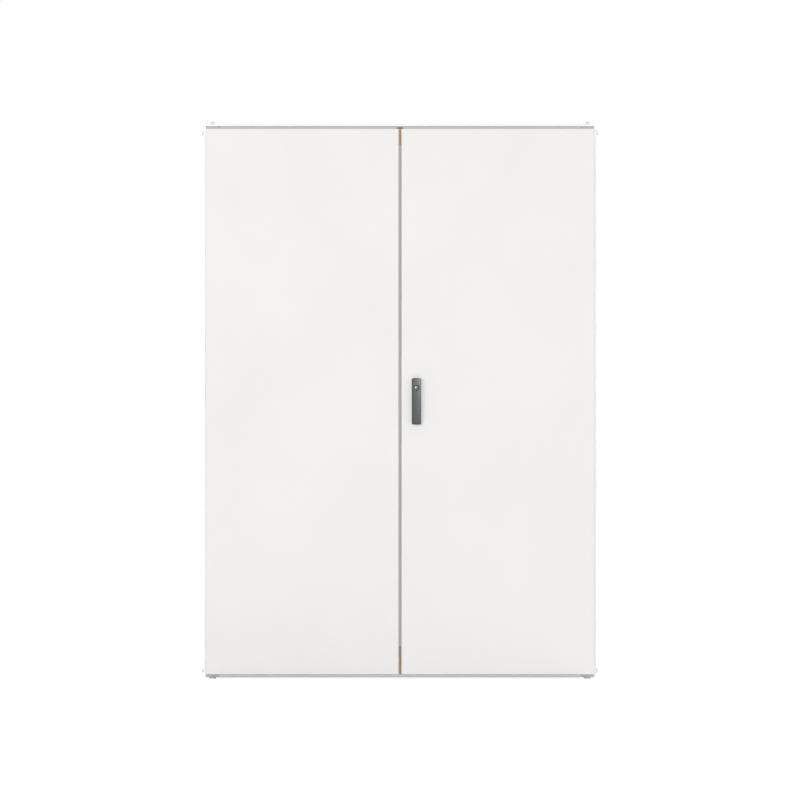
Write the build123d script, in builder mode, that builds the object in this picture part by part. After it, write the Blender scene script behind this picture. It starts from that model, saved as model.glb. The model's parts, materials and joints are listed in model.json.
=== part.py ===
from build123d import *

import os
from math import acos, asin, cos, degrees, pi, radians, sin, tan

# Floor-standing distribution cabinet with two doors, in millimetres.
# X runs across the doors, Y from the doors (negative) to the back, Z up from the floor.
# The origin is on the floor, under the middle of the overall box.

os.makedirs("parts", exist_ok=True)

# Overall sizes
BODY_WIDTH = 1350.0
BODY_HEIGHT = 1900.0
BODY_DEPTH = 400.0
FOOT_PROUD = 5.0

# Folded frame profile and corner blocks
PROFILE = 46.0
PROFILE_SHEET = 2.0
PROFILE_BEND = 3.0
SHORT_LIP = 20.0
LONG_LIP = 40.0
SLOT_PITCH = 100.0
SLOT_SIZE = (14.0, 7.0)
BLOCK_EDGE = 2.0

# Panels: shallow pans folded towards the frame
PANEL_SHEET = 1.5
PANEL_BEND = 2.5
SIDE_PAN = 8.0
BACK_PAN = 8.0
ROOF_PAN = 6.0

# Floor plates
FLOOR_PLATE_COUNT = 3
FLOOR_PLATE_EDGE = 12.0
FLOOR_PLATE_GAP = 2.0
FLOOR_LAP = 13.0

# Doors
DOOR_ZONE = 26.0
DOOR_DEPTH = 18.0
DOOR_SHEET = 1.5
DOOR_BEND = 2.5
DOOR_FLANGE = 42.0
DOOR_GAP_TOP = 10.0
DOOR_GAP_BOTTOM = 10.0
SEAM = 9.4

# Door gasket and stiffening braces
GASKET_WIDTH = 10.0
GASKET_ROUND = 2.0
GASKET_INSET = 24.0
GASKET_INSET_HINGE = 28.0
GASKET_INSET_SEAM = 12.0
SEAL_CLEARANCE = 0.3
BRACE_WIDTH = 60.0
BRACE_DEPTH = 13.0
BRACE_FOOT = 14.0
BRACE_SLOPE = 6.0
BRACE_BEND = 2.0
BRACE_GAP = 3.0

# Hinges
HINGE_COUNT = 3
HINGE_END = 170.0
HINGE_IN_X = 7.0
HINGE_IN_Y = 9.0
HINGE_PIN = 5.0
HINGE_KNUCKLE = 9.0
HINGE_KNUCKLE_TALL = 24.0
HINGE_ARM = 3.0
HINGE_FOOT = (14.0, 3.0)
HINGE_LUG = (12.0, 8.0)
HINGE_SLACK = 0.05
HINGE_END_PLAY = 0.5
HINGE_WINDOW_MARGIN = 2.0
HINGE_WINDOW_IN = 22.0
HINGE_WINDOW_SKIN = 3.5

# Centre mullion with its end brackets and buffers
MULLION_WIDTH = 56.0
MULLION_DEPTH = 25.0
MULLION_LIP = 10.0
BRACKET_WIDTH = 20.0
BRACKET_REACH = 65.0
BRACKET_SHEET = 2.0
BRACKET_ROUND = 2.0
BRACKET_TAB = (5.0, 28.0)
BRACKET_TAB_THICK = 1.0
BRACKET_TAB_RIGHT = 2.7
BUFFER_TOP = (27.0, 7.0)
BUFFER_BOTTOM = (18.0, 41.0)
BUFFER_THICK = 3.0
BUFFER_GAP = 1.0

# Bolts and screws
BOLT_SHANK = 12.0
BOLT_FLATS = 19.0
BOLT_HEAD = 7.5
BOLT_WASHER = (24.0, 2.5)
BOLT_GRIP = 22.0
BOLT_SLACK = 0.2
SCREW_SHANK = 8.0
SCREW_FLATS = 13.0
SCREW_HEAD = 5.0
SCREW_GRIP = 13.0

# Floor fixing holes in the bottom rails
FLOOR_HOLE = 14.0
FLOOR_HOLE_IN = 60.0

# Swing handle and lock
HANDLE_X = 57.0
HANDLE_CENTRE_Z = 953.0
LEVER_SIZE = (32.0, 160.0)
LEVER_THICK = 15.0
LEVER_CROWN = 2.5
LEVER_CROWN_ACROSS = 1.5
LEVER_END_ROUND = 1.5
LEVER_EDGE = 3.0
LEVER_END_EDGE = 2.5
LEVER_WALL = 3.0
BASE_THICK = 6.0
BASE_INSET = 1.0
BASE_CORNER = 3.0
BASE_RIM = 1.0
LEVER_GAP = 0.6
LEVER_POCKET = (24.0, 9.0)
LEVER_POCKET_END = 10.0
PIVOT_UP = 14.0
PIVOT_OUT = 4.0
PIVOT_PIN = 5.0
BOSS = 14.0
BOSS_SLACK = 0.6
LIFT_ANGLE = 35.0
TURN_ANGLE = 90.0
LOCK_DOWN = 34.0
LOCK_WINDOW_ROOM = 1.0
LOCK_PLUG = 17.0
KEY_SLOT = (9.0, 2.4)
KEY_DEPTH = 8.0
SLEEVE_WALL = 3.0
SLEEVE_LENGTH = 14.0
SPINDLE_SLACK = 0.08

# Rack-and-pinion rod lock behind the right door
PINION_TEETH = 12
PINION_MODULE = 2.0
PRESSURE_ANGLE = 20.0
TOOTH_STUB = 0.7
TOOTH_ROOM = 0.15
TOOTH_BACKLASH = 0.4
GEAR_THICK = 8.0
GEAR_SIDE_PLAY = 0.5
GEAR_JOURNAL = 10.0
RACK_TEETH = 7
RACK_BACK = 5.0
RACK_END = 1.0
ROD = 8.0
ROD_TIP = 2.0
ROD_END_GAP = 8.0
CASE_SHEET = 1.5
CASE_ROOM = 1.8
CASE_HEIGHT = 76.0
CASE_STRAP = 22.0
GUIDE_SIZE = (14.0, 16.0)
GUIDE_STRAP = 2.0
GUIDE_SLACK = 0.25
GUIDE_END = 14.0
GUIDE_INNER = 420.0

# Planes and levels worked out from the sizes above
HANDLE_PROUD = BASE_THICK + LEVER_GAP + LEVER_THICK
FACE = -(BODY_DEPTH + SCREW_HEAD - HANDLE_PROUD) / 2
FRONT = FACE + DOOR_ZONE
BODY_BACK = FACE + BODY_DEPTH
REAR = BODY_BACK - BACK_PAN
MIDDLE_Y = (FRONT + REAR) / 2
HALF = BODY_WIDTH / 2
FRAME_HALF = HALF - SIDE_PAN
BOTTOM = FOOT_PROUD
TOP = FOOT_PROUD + BODY_HEIGHT - ROOF_PAN
MIDDLE_Z = (BOTTOM + TOP) / 2
DOOR_LOW = BOTTOM + DOOR_GAP_BOTTOM
DOOR_HIGH = TOP - DOOR_GAP_TOP
DOOR_HEIGHT = DOOR_HIGH - DOOR_LOW
DOOR_WIDTH = FRAME_HALF - SEAM / 2
DOOR_MIDDLE_X = (FRAME_HALF + SEAM / 2) / 2
DOOR_BACK = FACE + DOOR_DEPTH
PIN_X = FRAME_HALF - HINGE_IN_X
PIN_Y = FACE + HINGE_IN_Y
ACROSS = Plane(origin=(0, MIDDLE_Y, 0), z_dir=(0, 1, 0))
HALFWAY_UP = Plane.XY.offset(MIDDLE_Z)


def write(part, name):
    """Labels a finished piece and writes it as its own file."""
    part.label = name
    export_step(part, f"parts/{name}.step")


def folded_section(plane):
    """The frame profile's cross-section, its outer corner on the plane's origin."""
    half = PROFILE_SHEET / 2
    far = PROFILE - half
    with BuildSketch(plane) as section:
        with BuildLine():
            FilletPolyline(
                (far, SHORT_LIP), (far, half), (half, half), (half, far), (LONG_LIP, far),
                radius=PROFILE_BEND,
            )
        trace(line_width=PROFILE_SHEET)
    return section.sketch


def write_with_mirrors(part, names_and_planes):
    """Writes a piece mirrored about each listed plane, under each listed name."""
    for name, plane in names_and_planes:
        with BuildPart() as mirrored:
            mirror(part, about=plane)
        write(mirrored.part, name)


# Corner uprights, slotted at a regular pitch on their long lip
post_height = TOP - BOTTOM - 2 * PROFILE
slot_count = int((post_height - SLOT_PITCH) // SLOT_PITCH)
with BuildPart() as post_front_left:
    extrude(
        folded_section(Plane(origin=(-FRAME_HALF, FRONT, BOTTOM + PROFILE))),
        amount=post_height,
    )
    with BuildSketch(
        Plane(
            origin=(-FRAME_HALF + PROFILE / 2, FRONT + PROFILE, MIDDLE_Z),
            x_dir=(1, 0, 0),
            z_dir=(0, -1, 0),
        )
    ):
        with GridLocations(SLOT_PITCH, SLOT_PITCH, 1, slot_count):
            Rectangle(*SLOT_SIZE)
    extrude(amount=2 * PROFILE_SHEET, mode=Mode.SUBTRACT)
write(post_front_left.part, "post_front_left")
write_with_mirrors(
    post_front_left.part,
    [("post_front_right", Plane.YZ), ("post_back_left", ACROSS)],
)
with BuildPart() as post_front_right:
    mirror(post_front_left.part, about=Plane.YZ)
write_with_mirrors(post_front_right.part, [("post_back_right", ACROSS)])

# Front and back rails, with the floor fixing holes in the bottom ones
rail_length = 2 * (FRAME_HALF - PROFILE)
floor_hole_x = FRAME_HALF - PROFILE - FLOOR_HOLE_IN
with BuildPart() as bottom_rail_front:
    extrude(
        folded_section(
            Plane(
                origin=(-rail_length / 2, FRONT, BOTTOM),
                x_dir=(0, 1, 0),
                z_dir=(1, 0, 0),
            )
        ),
        amount=rail_length,
    )
with BuildPart() as drilled_rail_front:
    add(bottom_rail_front.part)
    with Locations(
        (-floor_hole_x, FRONT + PROFILE / 2, BOTTOM),
        (floor_hole_x, FRONT + PROFILE / 2, BOTTOM),
    ):
        Hole(radius=FLOOR_HOLE / 2, depth=PROFILE_SHEET)
write(drilled_rail_front.part, "bottom_rail_front")
write_with_mirrors(drilled_rail_front.part, [("bottom_rail_back", ACROSS)])
with BuildPart() as top_rail_front:
    mirror(bottom_rail_front.part, about=HALFWAY_UP)
write(top_rail_front.part, "top_rail_front")
write_with_mirrors(top_rail_front.part, [("top_rail_back", ACROSS)])

# Side rails
side_rail_length = REAR - FRONT - 2 * PROFILE
with BuildPart() as bottom_rail_left:
    extrude(
        folded_section(
            Plane(
                origin=(-FRAME_HALF, REAR - PROFILE, BOTTOM),
                x_dir=(1, 0, 0),
                z_dir=(0, -1, 0),
            )
        ),
        amount=side_rail_length,
    )
write(bottom_rail_left.part, "bottom_rail_left")
write_with_mirrors(
    bottom_rail_left.part,
    [("bottom_rail_right", Plane.YZ), ("top_rail_left", HALFWAY_UP)],
)
with BuildPart() as bottom_rail_right:
    mirror(bottom_rail_left.part, about=Plane.YZ)
write_with_mirrors(bottom_rail_right.part, [("top_rail_right", HALFWAY_UP)])

# Cast corner blocks: one is shaped and bored, then mirrored to the other corners
block_x = FRAME_HALF - PROFILE / 2
block_y = FRONT + PROFILE / 2
block_z = BOTTOM + PROFILE / 2
bolt_bore = BOLT_SHANK / 2 + BOLT_SLACK
screw_bore = SCREW_SHANK / 2 + BOLT_SLACK


def four_corners(part):
    """A piece and its mirror images at the four corners of one level."""
    with BuildPart() as pair:
        add(part)
        mirror(part, about=Plane.YZ)
    with BuildPart() as four:
        add(pair.part)
        mirror(pair.part, about=ACROSS)
    return four.part


with BuildPart() as plain_block:
    with Locations((-block_x, block_y, block_z)):
        Box(PROFILE, PROFILE, PROFILE)
    chamfer(plain_block.edges(), length=BLOCK_EDGE)
    with Locations(Plane(origin=(-block_x, block_y, BOTTOM), z_dir=(0, 0, -1))):
        Hole(radius=bolt_bore, depth=BOLT_GRIP + BOLT_HEAD)
    with Locations(Plane(origin=(-FRAME_HALF, block_y, block_z), z_dir=(-1, 0, 0))):
        Hole(radius=screw_bore, depth=SCREW_GRIP + BOLT_SLACK)


def block_set(part):
    """Four corner blocks at the bottom, the back pair bored for the back panel too."""
    with BuildPart() as blocks:
        add(four_corners(part))
        for side in (-1, 1):
            with Locations(Plane(origin=(side * block_x, REAR, block_z), z_dir=(0, 1, 0))):
                Hole(radius=screw_bore, depth=SCREW_GRIP + BOLT_SLACK)
    return blocks.part


with BuildPart() as corner_blocks_top:
    mirror(block_set(plain_block.part), about=HALFWAY_UP)
write(corner_blocks_top.part, "corner_blocks_top")

# The bottom blocks have a seat that the heads of the foot bolts sink into
with BuildPart() as foot_block:
    add(plain_block.part)
    with Locations(Plane(origin=(-block_x, block_y, BOTTOM), z_dir=(0, 0, -1))):
        Hole(radius=BOLT_WASHER[0] / 2, depth=BOLT_HEAD - FOOT_PROUD)
write(block_set(foot_block.part), "corner_blocks_bottom")


def hex_bolt(head_base, washer_thick):
    """A hex bolt pointing up at the front-left corner, its head standing on head_base."""
    with BuildPart() as bolt:
        with BuildSketch(Plane.XY.offset(head_base)):
            with Locations((-block_x, block_y)):
                RegularPolygon(radius=BOLT_FLATS / 2, side_count=6, major_radius=False)
        extrude(amount=BOLT_HEAD)
        with BuildSketch(Plane.XY.offset(head_base + BOLT_HEAD)):
            with Locations((-block_x, block_y)):
                Circle(BOLT_SHANK / 2)
        extrude(amount=washer_thick + BOLT_GRIP)
        if washer_thick:
            with BuildSketch(Plane.XY.offset(head_base + BOLT_HEAD)):
                with Locations((-block_x, block_y)):
                    Circle(BOLT_WASHER[0] / 2)
            extrude(amount=washer_thick)
    return bolt.part


# The cabinet stands on the heads of four bolts screwed up into the corner blocks
write(four_corners(hex_bolt(0, 0)), "foot_bolts")

# Roof bolts hold the roof down and give way to lifting eyes
roof_top = TOP + ROOF_PAN
roof_bolt_base = 2 * MIDDLE_Z - roof_top - BOLT_WASHER[1] - BOLT_HEAD
with BuildPart() as roof_bolts:
    mirror(four_corners(hex_bolt(roof_bolt_base, BOLT_WASHER[1])), about=HALFWAY_UP)
write(roof_bolts.part, "roof_bolts")


def pan(plane, width, height, depth, sheet, bend):
    """A shallow pan whose outer face lies on the plane and whose folds run along -Z of it."""
    outward = Axis((0, 0, 0), tuple(plane.z_dir))
    with BuildPart() as shell:
        with BuildSketch(plane):
            Rectangle(width, height)
        extrude(amount=-depth)
        fillet(shell.faces().sort_by(outward)[-1].edges(), radius=bend)
        offset(amount=-sheet, openings=shell.faces().sort_by(outward)[0])
    return shell.part


# Side panels, one on each flank of the frame
frame_height = TOP - BOTTOM
screw_levels = (BOTTOM + PROFILE / 2, TOP - PROFILE / 2)
screw_rows = (FRONT + PROFILE / 2, REAR - PROFILE / 2)
with BuildPart() as side_panel_left:
    add(
        pan(
            Plane(origin=(-HALF, MIDDLE_Y, MIDDLE_Z), x_dir=(0, -1, 0), z_dir=(-1, 0, 0)),
            REAR - FRONT, frame_height, SIDE_PAN, PANEL_SHEET, PANEL_BEND,
        )
    )
    for level in screw_levels:
        for row in screw_rows:
            with Locations(Plane(origin=(-HALF, row, level), z_dir=(-1, 0, 0))):
                Hole(radius=SCREW_SHANK / 2 + BOLT_SLACK, depth=PANEL_SHEET + BOLT_SLACK)
write(side_panel_left.part, "side_panel_left")
write_with_mirrors(side_panel_left.part, [("side_panel_right", Plane.YZ)])

# Back panel
with BuildPart() as back_panel:
    add(
        pan(
            Plane(origin=(0, BODY_BACK, MIDDLE_Z), x_dir=(-1, 0, 0), z_dir=(0, 1, 0)),
            BODY_WIDTH, frame_height, BACK_PAN, PANEL_SHEET, PANEL_BEND,
        )
    )
    for level in screw_levels:
        for column in (-block_x, block_x):
            with Locations(Plane(origin=(column, BODY_BACK, level), z_dir=(0, 1, 0))):
                Hole(radius=SCREW_SHANK / 2 + BOLT_SLACK, depth=PANEL_SHEET + BOLT_SLACK)
write(back_panel.part, "back_panel")

# Roof panel, over the frame, the side panels and the back panel
with BuildPart() as roof_panel:
    add(
        pan(
            Plane(origin=(0, (FRONT + BODY_BACK) / 2, roof_top)),
            BODY_WIDTH, BODY_BACK - FRONT, ROOF_PAN, PANEL_SHEET, PANEL_BEND,
        )
    )
    for row in screw_rows:
        for column in (-block_x, block_x):
            with Locations((column, row, roof_top)):
                Hole(radius=BOLT_SHANK / 2 + BOLT_SLACK, depth=PANEL_SHEET + BOLT_SLACK)
write(roof_panel.part, "roof_panel")


def panel_screw(plane, pan_depth):
    """A hex screw, its head on the plane and its shank running into the frame."""
    with BuildPart() as screw:
        with BuildSketch(plane):
            RegularPolygon(radius=SCREW_FLATS / 2, side_count=6, major_radius=False)
        extrude(amount=SCREW_HEAD)
        with BuildSketch(plane):
            Circle(SCREW_SHANK / 2)
        extrude(amount=-(pan_depth + SCREW_GRIP))
    return screw.part


# Screws at the corners of the side and back panels
with BuildPart() as panel_screws:
    for level in screw_levels:
        for row in screw_rows:
            for side in (-1, 1):
                add(
                    panel_screw(
                        Plane(origin=(side * HALF, row, level), z_dir=(side, 0, 0)),
                        SIDE_PAN,
                    )
                )
        for side in (-1, 1):
            add(
                panel_screw(
                    Plane(origin=(side * block_x, BODY_BACK, level), z_dir=(0, 1, 0)),
                    BACK_PAN,
                )
            )
write(panel_screws.part, "panel_screws")

# Floor plates: trays laid on the long lips of the bottom rails
floor_level = BOTTOM + PROFILE
floor_depth = REAR - FRONT - 2 * (LONG_LIP - FLOOR_LAP)
floor_span = 2 * (FRAME_HALF - PROFILE) - 2 * FLOOR_PLATE_GAP
plate_pitch = (floor_span + FLOOR_PLATE_GAP) / FLOOR_PLATE_COUNT
plate_width = plate_pitch - FLOOR_PLATE_GAP
with BuildPart() as floor_plates:
    for index in range(FLOOR_PLATE_COUNT):
        centre = (index - (FLOOR_PLATE_COUNT - 1) / 2) * plate_pitch
        add(
            pan(
                Plane(origin=(centre, MIDDLE_Y, floor_level), z_dir=(0, 0, -1)),
                plate_width, floor_depth, FLOOR_PLATE_EDGE, PANEL_SHEET, PANEL_BEND,
            )
        )
write(floor_plates.part, "floor_plates")

# Centre mullion: a lipped channel standing between the front rails
with BuildPart() as centre_mullion:
    with BuildSketch(Plane(origin=(0, FRONT, BOTTOM + PROFILE))):
        half = PROFILE_SHEET / 2
        side = MULLION_WIDTH / 2 - half
        with BuildLine():
            FilletPolyline(
                (-side + MULLION_LIP, MULLION_DEPTH - half), (-side, MULLION_DEPTH - half),
                (-side, half), (side, half),
                (side, MULLION_DEPTH - half), (side - MULLION_LIP, MULLION_DEPTH - half),
                radius=PROFILE_BEND,
            )
        trace(line_width=PROFILE_SHEET)
    extrude(amount=post_height)
write(centre_mullion.part, "centre_mullion")


def front_plate(width, low, high, thick, rounding=0, right=0):
    """A plate on the frame's front plane, beside the middle of the seam between the doors."""
    with BuildPart() as plate:
        with BuildSketch(
            Plane(origin=(right, FRONT, (low + high) / 2), x_dir=(1, 0, 0), z_dir=(0, -1, 0))
        ):
            if rounding:
                RectangleRounded(width, high - low, rounding)
            else:
                Rectangle(width, high - low)
        extrude(amount=thick)
    return plate.part


# Brackets that tie the mullion to the rails, and the buffers beside them
bracket_top = BOTTOM + BRACKET_REACH
with BuildPart() as mullion_brackets:
    for low, high in ((DOOR_LOW, bracket_top), (TOP - BRACKET_REACH, DOOR_HIGH)):
        tab_low = (low + high - BRACKET_TAB[1]) / 2
        add(front_plate(BRACKET_WIDTH, low, high, BRACKET_SHEET, BRACKET_ROUND))
        add(
            front_plate(
                BRACKET_TAB[0], tab_low, tab_low + BRACKET_TAB[1],
                BRACKET_SHEET + BRACKET_TAB_THICK, right=BRACKET_TAB_RIGHT,
            )
        )
write(mullion_brackets.part, "mullion_brackets")
buffer_low = DOOR_HIGH + BUFFER_GAP
write(
    front_plate(BUFFER_TOP[0], buffer_low, buffer_low + BUFFER_TOP[1], BUFFER_THICK),
    "door_buffer_top",
)
buffer_low = bracket_top + BUFFER_GAP
write(
    front_plate(BUFFER_BOTTOM[0], buffer_low, buffer_low + BUFFER_BOTTOM[1], BUFFER_THICK),
    "door_buffer_bottom",
)

# Hinge levels, shared by the arms, the lugs and the windows in the doors
hinge_span = DOOR_HEIGHT - 2 * HINGE_END
hinge_levels = [
    DOOR_LOW + HINGE_END + index * hinge_span / (HINGE_COUNT - 1)
    for index in range(HINGE_COUNT)
]
knuckle_half = HINGE_KNUCKLE_TALL / 2

# Fixed hinge arms: a foot on the post, a slanting arm and the knuckle round the pin
with BuildPart() as hinge_arms_right:
    foot_x = PIN_X - HINGE_KNUCKLE
    for level in hinge_levels:
        with BuildSketch(Plane.XY.offset(level - knuckle_half)):
            with Locations((PIN_X, PIN_Y)):
                Circle(HINGE_KNUCKLE / 2)
            with Locations((foot_x, FRONT - HINGE_FOOT[1] / 2)):
                Rectangle(*HINGE_FOOT)
            with BuildLine():
                Line((PIN_X, PIN_Y), (foot_x + HINGE_ARM / 2, FRONT - HINGE_FOOT[1] / 2))
            trace(line_width=HINGE_ARM)
            with Locations((PIN_X, PIN_Y)):
                Circle(HINGE_PIN / 2 + HINGE_SLACK, mode=Mode.SUBTRACT)
        extrude(amount=HINGE_KNUCKLE_TALL)
write(hinge_arms_right.part, "hinge_arms_right")
write_with_mirrors(hinge_arms_right.part, [("hinge_arms_left", Plane.YZ)])

# Right door leaf: a folded pan with a return flange and windows for the hinges
window_half = knuckle_half + HINGE_END_PLAY + HINGE_LUG[1] + HINGE_WINDOW_MARGIN
with BuildPart() as right_leaf_blank:
    add(
        pan(
            Plane(
                origin=(DOOR_MIDDLE_X, FACE, (DOOR_LOW + DOOR_HIGH) / 2),
                x_dir=(1, 0, 0),
                z_dir=(0, -1, 0),
            ),
            DOOR_WIDTH, DOOR_HEIGHT, DOOR_DEPTH, DOOR_SHEET, DOOR_BEND,
        )
    )
    with BuildSketch(
        Plane(
            origin=(DOOR_MIDDLE_X, DOOR_BACK, (DOOR_LOW + DOOR_HIGH) / 2),
            x_dir=(1, 0, 0),
            z_dir=(0, -1, 0),
        )
    ):
        Rectangle(DOOR_WIDTH, DOOR_HEIGHT)
        Rectangle(
            DOOR_WIDTH - 2 * DOOR_FLANGE, DOOR_HEIGHT - 2 * DOOR_FLANGE, mode=Mode.SUBTRACT
        )
    extrude(amount=DOOR_SHEET)
    for level in hinge_levels:
        with BuildSketch(Plane.XY.offset(level - window_half)):
            with Locations((FRAME_HALF, DOOR_BACK)):
                Rectangle(2 * HINGE_WINDOW_IN, 2 * (DOOR_DEPTH - HINGE_WINDOW_SKIN))
        extrude(amount=2 * window_half, mode=Mode.SUBTRACT)
with BuildPart() as left_door_leaf:
    mirror(right_leaf_blank.part, about=Plane.YZ)
write(left_door_leaf.part, "left_door_leaf")

# Lock and handle levels
lever_low = HANDLE_CENTRE_Z - LEVER_SIZE[1] / 2
lever_high = HANDLE_CENTRE_Z + LEVER_SIZE[1] / 2
pivot_z = lever_low + PIVOT_UP
base_face = FACE - BASE_THICK
pivot_y = base_face - PIVOT_OUT
lock_z = lever_high - LOCK_DOWN
sleeve = BOSS + 2 * SLEEVE_WALL
lock_sleeve = LOCK_PLUG + 2 * SLEEVE_WALL
lock_window = LOCK_PLUG + 2 * LOCK_WINDOW_ROOM

with BuildPart() as right_door_leaf:
    add(right_leaf_blank.part)
    with Locations(Plane(origin=(HANDLE_X, FACE, pivot_z), z_dir=(0, -1, 0))):
        Hole(radius=sleeve / 2 + BOLT_SLACK, depth=2 * DOOR_SHEET)
    with Locations(Plane(origin=(HANDLE_X, FACE, lock_z), z_dir=(0, -1, 0))):
        Hole(radius=lock_sleeve / 2 + BOLT_SLACK, depth=2 * DOOR_SHEET)
write(right_door_leaf.part, "right_door_leaf")

# Door gaskets: a rectangular ring on the return flange
gasket_depth = FRONT - DOOR_BACK - SEAL_CLEARANCE
gasket_left = SEAM / 2 + GASKET_INSET_SEAM
gasket_right = FRAME_HALF - GASKET_INSET_HINGE
gasket_low = DOOR_LOW + GASKET_INSET
gasket_high = DOOR_HIGH - GASKET_INSET
with BuildPart() as right_door_gasket:
    with BuildSketch(
        Plane(
            origin=(
                (gasket_left + gasket_right) / 2, DOOR_BACK, (gasket_low + gasket_high) / 2
            ),
            x_dir=(1, 0, 0),
            z_dir=(0, -1, 0),
        )
    ):
        ring = (gasket_right - gasket_left, gasket_high - gasket_low)
        RectangleRounded(*ring, GASKET_WIDTH + GASKET_ROUND)
        RectangleRounded(
            ring[0] - 2 * GASKET_WIDTH, ring[1] - 2 * GASKET_WIDTH, GASKET_ROUND,
            mode=Mode.SUBTRACT,
        )
    extrude(amount=-gasket_depth)
write(right_door_gasket.part, "right_door_gasket")
write_with_mirrors(right_door_gasket.part, [("left_door_gasket", Plane.YZ)])

# Door braces: hat-shaped strips across the inside of the skin
brace_left = SEAM / 2 + DOOR_FLANGE + BRACE_GAP
brace_right = FRAME_HALF - DOOR_FLANGE - BRACE_GAP
brace_skin = FACE + DOOR_SHEET
with BuildPart() as right_door_braces:
    for share in (1 / 3, 2 / 3):
        level = DOOR_LOW + share * DOOR_HEIGHT
        half = DOOR_SHEET / 2
        reach = BRACE_WIDTH / 2
        crown = reach - BRACE_FOOT
        with BuildSketch(
            Plane(origin=(brace_left, brace_skin, level), x_dir=(0, 1, 0), z_dir=(1, 0, 0))
        ):
            with BuildLine():
                FilletPolyline(
                    (half, -reach), (half, -crown), (BRACE_DEPTH - half, BRACE_SLOPE - crown),
                    (BRACE_DEPTH - half, crown - BRACE_SLOPE), (half, crown), (half, reach),
                    radius=BRACE_BEND,
                )
            trace(line_width=DOOR_SHEET)
        extrude(amount=brace_right - brace_left)
write(right_door_braces.part, "right_door_braces")
write_with_mirrors(right_door_braces.part, [("left_door_braces", Plane.YZ)])

# Door half of the hinges: at each level a pin pressed into two lugs, made as one piece
lug_reach = DOOR_SHEET + HINGE_LUG[0]
with BuildPart() as right_door_hinges:
    for level in hinge_levels:
        for side in (-1, 1):
            near = level + side * (knuckle_half + HINGE_END_PLAY)
            with BuildSketch(Plane.XY.offset(near)):
                with Locations(
                    (
                        FRAME_HALF - DOOR_SHEET - HINGE_LUG[0] / 2,
                        FACE + DOOR_SHEET + HINGE_LUG[0] / 2,
                    )
                ):
                    lug = Rectangle(HINGE_LUG[0], HINGE_LUG[0])
                outer = lug.vertices().sort_by(Axis.X)[-2:].sort_by(Axis.Y)[0]
                chamfer(outer, length=DOOR_BEND)
            extrude(amount=side * HINGE_LUG[1])
        with Locations((PIN_X, PIN_Y, level)):
            Cylinder(radius=HINGE_PIN / 2, height=2 * (knuckle_half + HINGE_END_PLAY))
write(right_door_hinges.part, "right_door_hinges")
write_with_mirrors(right_door_hinges.part, [("left_door_hinges", Plane.YZ)])

# Handle base: a plate on the door skin with sleeves for the spindle and the lock
with BuildPart() as handle_base:
    with BuildSketch(
        Plane(origin=(HANDLE_X, FACE, HANDLE_CENTRE_Z), x_dir=(1, 0, 0), z_dir=(0, -1, 0))
    ):
        RectangleRounded(
            LEVER_SIZE[0] - 2 * BASE_INSET, LEVER_SIZE[1] - 2 * BASE_INSET, BASE_CORNER
        )
    extrude(amount=BASE_THICK)
    chamfer(handle_base.faces().sort_by(Axis.Y)[0].edges(), length=BASE_RIM)
    with BuildSketch(
        Plane(origin=(HANDLE_X, FACE, pivot_z), x_dir=(1, 0, 0), z_dir=(0, 1, 0))
    ):
        Circle(sleeve / 2)
    extrude(amount=SLEEVE_LENGTH)
    with BuildSketch(
        Plane(origin=(HANDLE_X, FACE, lock_z), x_dir=(1, 0, 0), z_dir=(0, 1, 0))
    ):
        Circle(lock_sleeve / 2)
    extrude(amount=SLEEVE_LENGTH)
    with Locations(Plane(origin=(HANDLE_X, base_face, pivot_z), z_dir=(0, -1, 0))):
        Hole(radius=BOSS / 2 + SPINDLE_SLACK, depth=BASE_THICK + DOOR_DEPTH)
    with Locations(Plane(origin=(HANDLE_X, base_face, lock_z), z_dir=(0, -1, 0))):
        Hole(radius=LOCK_PLUG / 2 + SPINDLE_SLACK, depth=BASE_THICK + DOOR_DEPTH)
write(handle_base.part, "handle_base")

# Lock cylinder: a plug with a key slot, level with the face of the base
with BuildPart() as lock_cylinder:
    with BuildSketch(
        Plane(origin=(HANDLE_X, base_face, lock_z), x_dir=(1, 0, 0), z_dir=(0, 1, 0))
    ):
        Circle(LOCK_PLUG / 2)
    extrude(amount=BASE_THICK + DOOR_DEPTH)
    with BuildSketch(
        Plane(origin=(HANDLE_X, base_face, lock_z), x_dir=(1, 0, 0), z_dir=(0, 1, 0))
    ):
        SlotOverall(*KEY_SLOT, rotation=90)
    extrude(amount=KEY_DEPTH, mode=Mode.SUBTRACT)
write(lock_cylinder.part, "lock_cylinder")

# Lock gearing: sizes that the pinion and both racks share
gear_near = DOOR_BACK + CASE_SHEET + GEAR_SIDE_PLAY
gear_far = gear_near + GEAR_THICK
bridge_near = gear_far + GEAR_SIDE_PLAY
bridge_far = bridge_near + CASE_SHEET
pitch_radius = PINION_MODULE * PINION_TEETH / 2
pitch = pi * PINION_MODULE
addendum = TOOTH_STUB * PINION_MODULE
dedendum = (TOOTH_STUB + TOOTH_ROOM) * PINION_MODULE
tooth_half = (pitch - TOOTH_BACKLASH) / 4
flank = tan(radians(PRESSURE_ANGLE))
base_radius = pitch_radius * cos(radians(PRESSURE_ANGLE))
tip_radius = pitch_radius + addendum
root_radius = pitch_radius - dedendum
tooth_foot = 0.9 * root_radius
rod_offset = pitch_radius + dedendum + RACK_BACK / 2
case_width = 2 * (rod_offset + RACK_BACK / 2 + CASE_ROOM + CASE_SHEET)


def involute_point(radius):
    """A point on a pinion tooth's upper flank, the tooth pointing along +X."""
    def roll(angle):
        return tan(angle) - angle
    at_pitch = tooth_half / pitch_radius + roll(radians(PRESSURE_ANGLE))
    angle = at_pitch - roll(acos(min(1, base_radius / radius)))
    return radius * cos(angle), radius * sin(angle)


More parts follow.
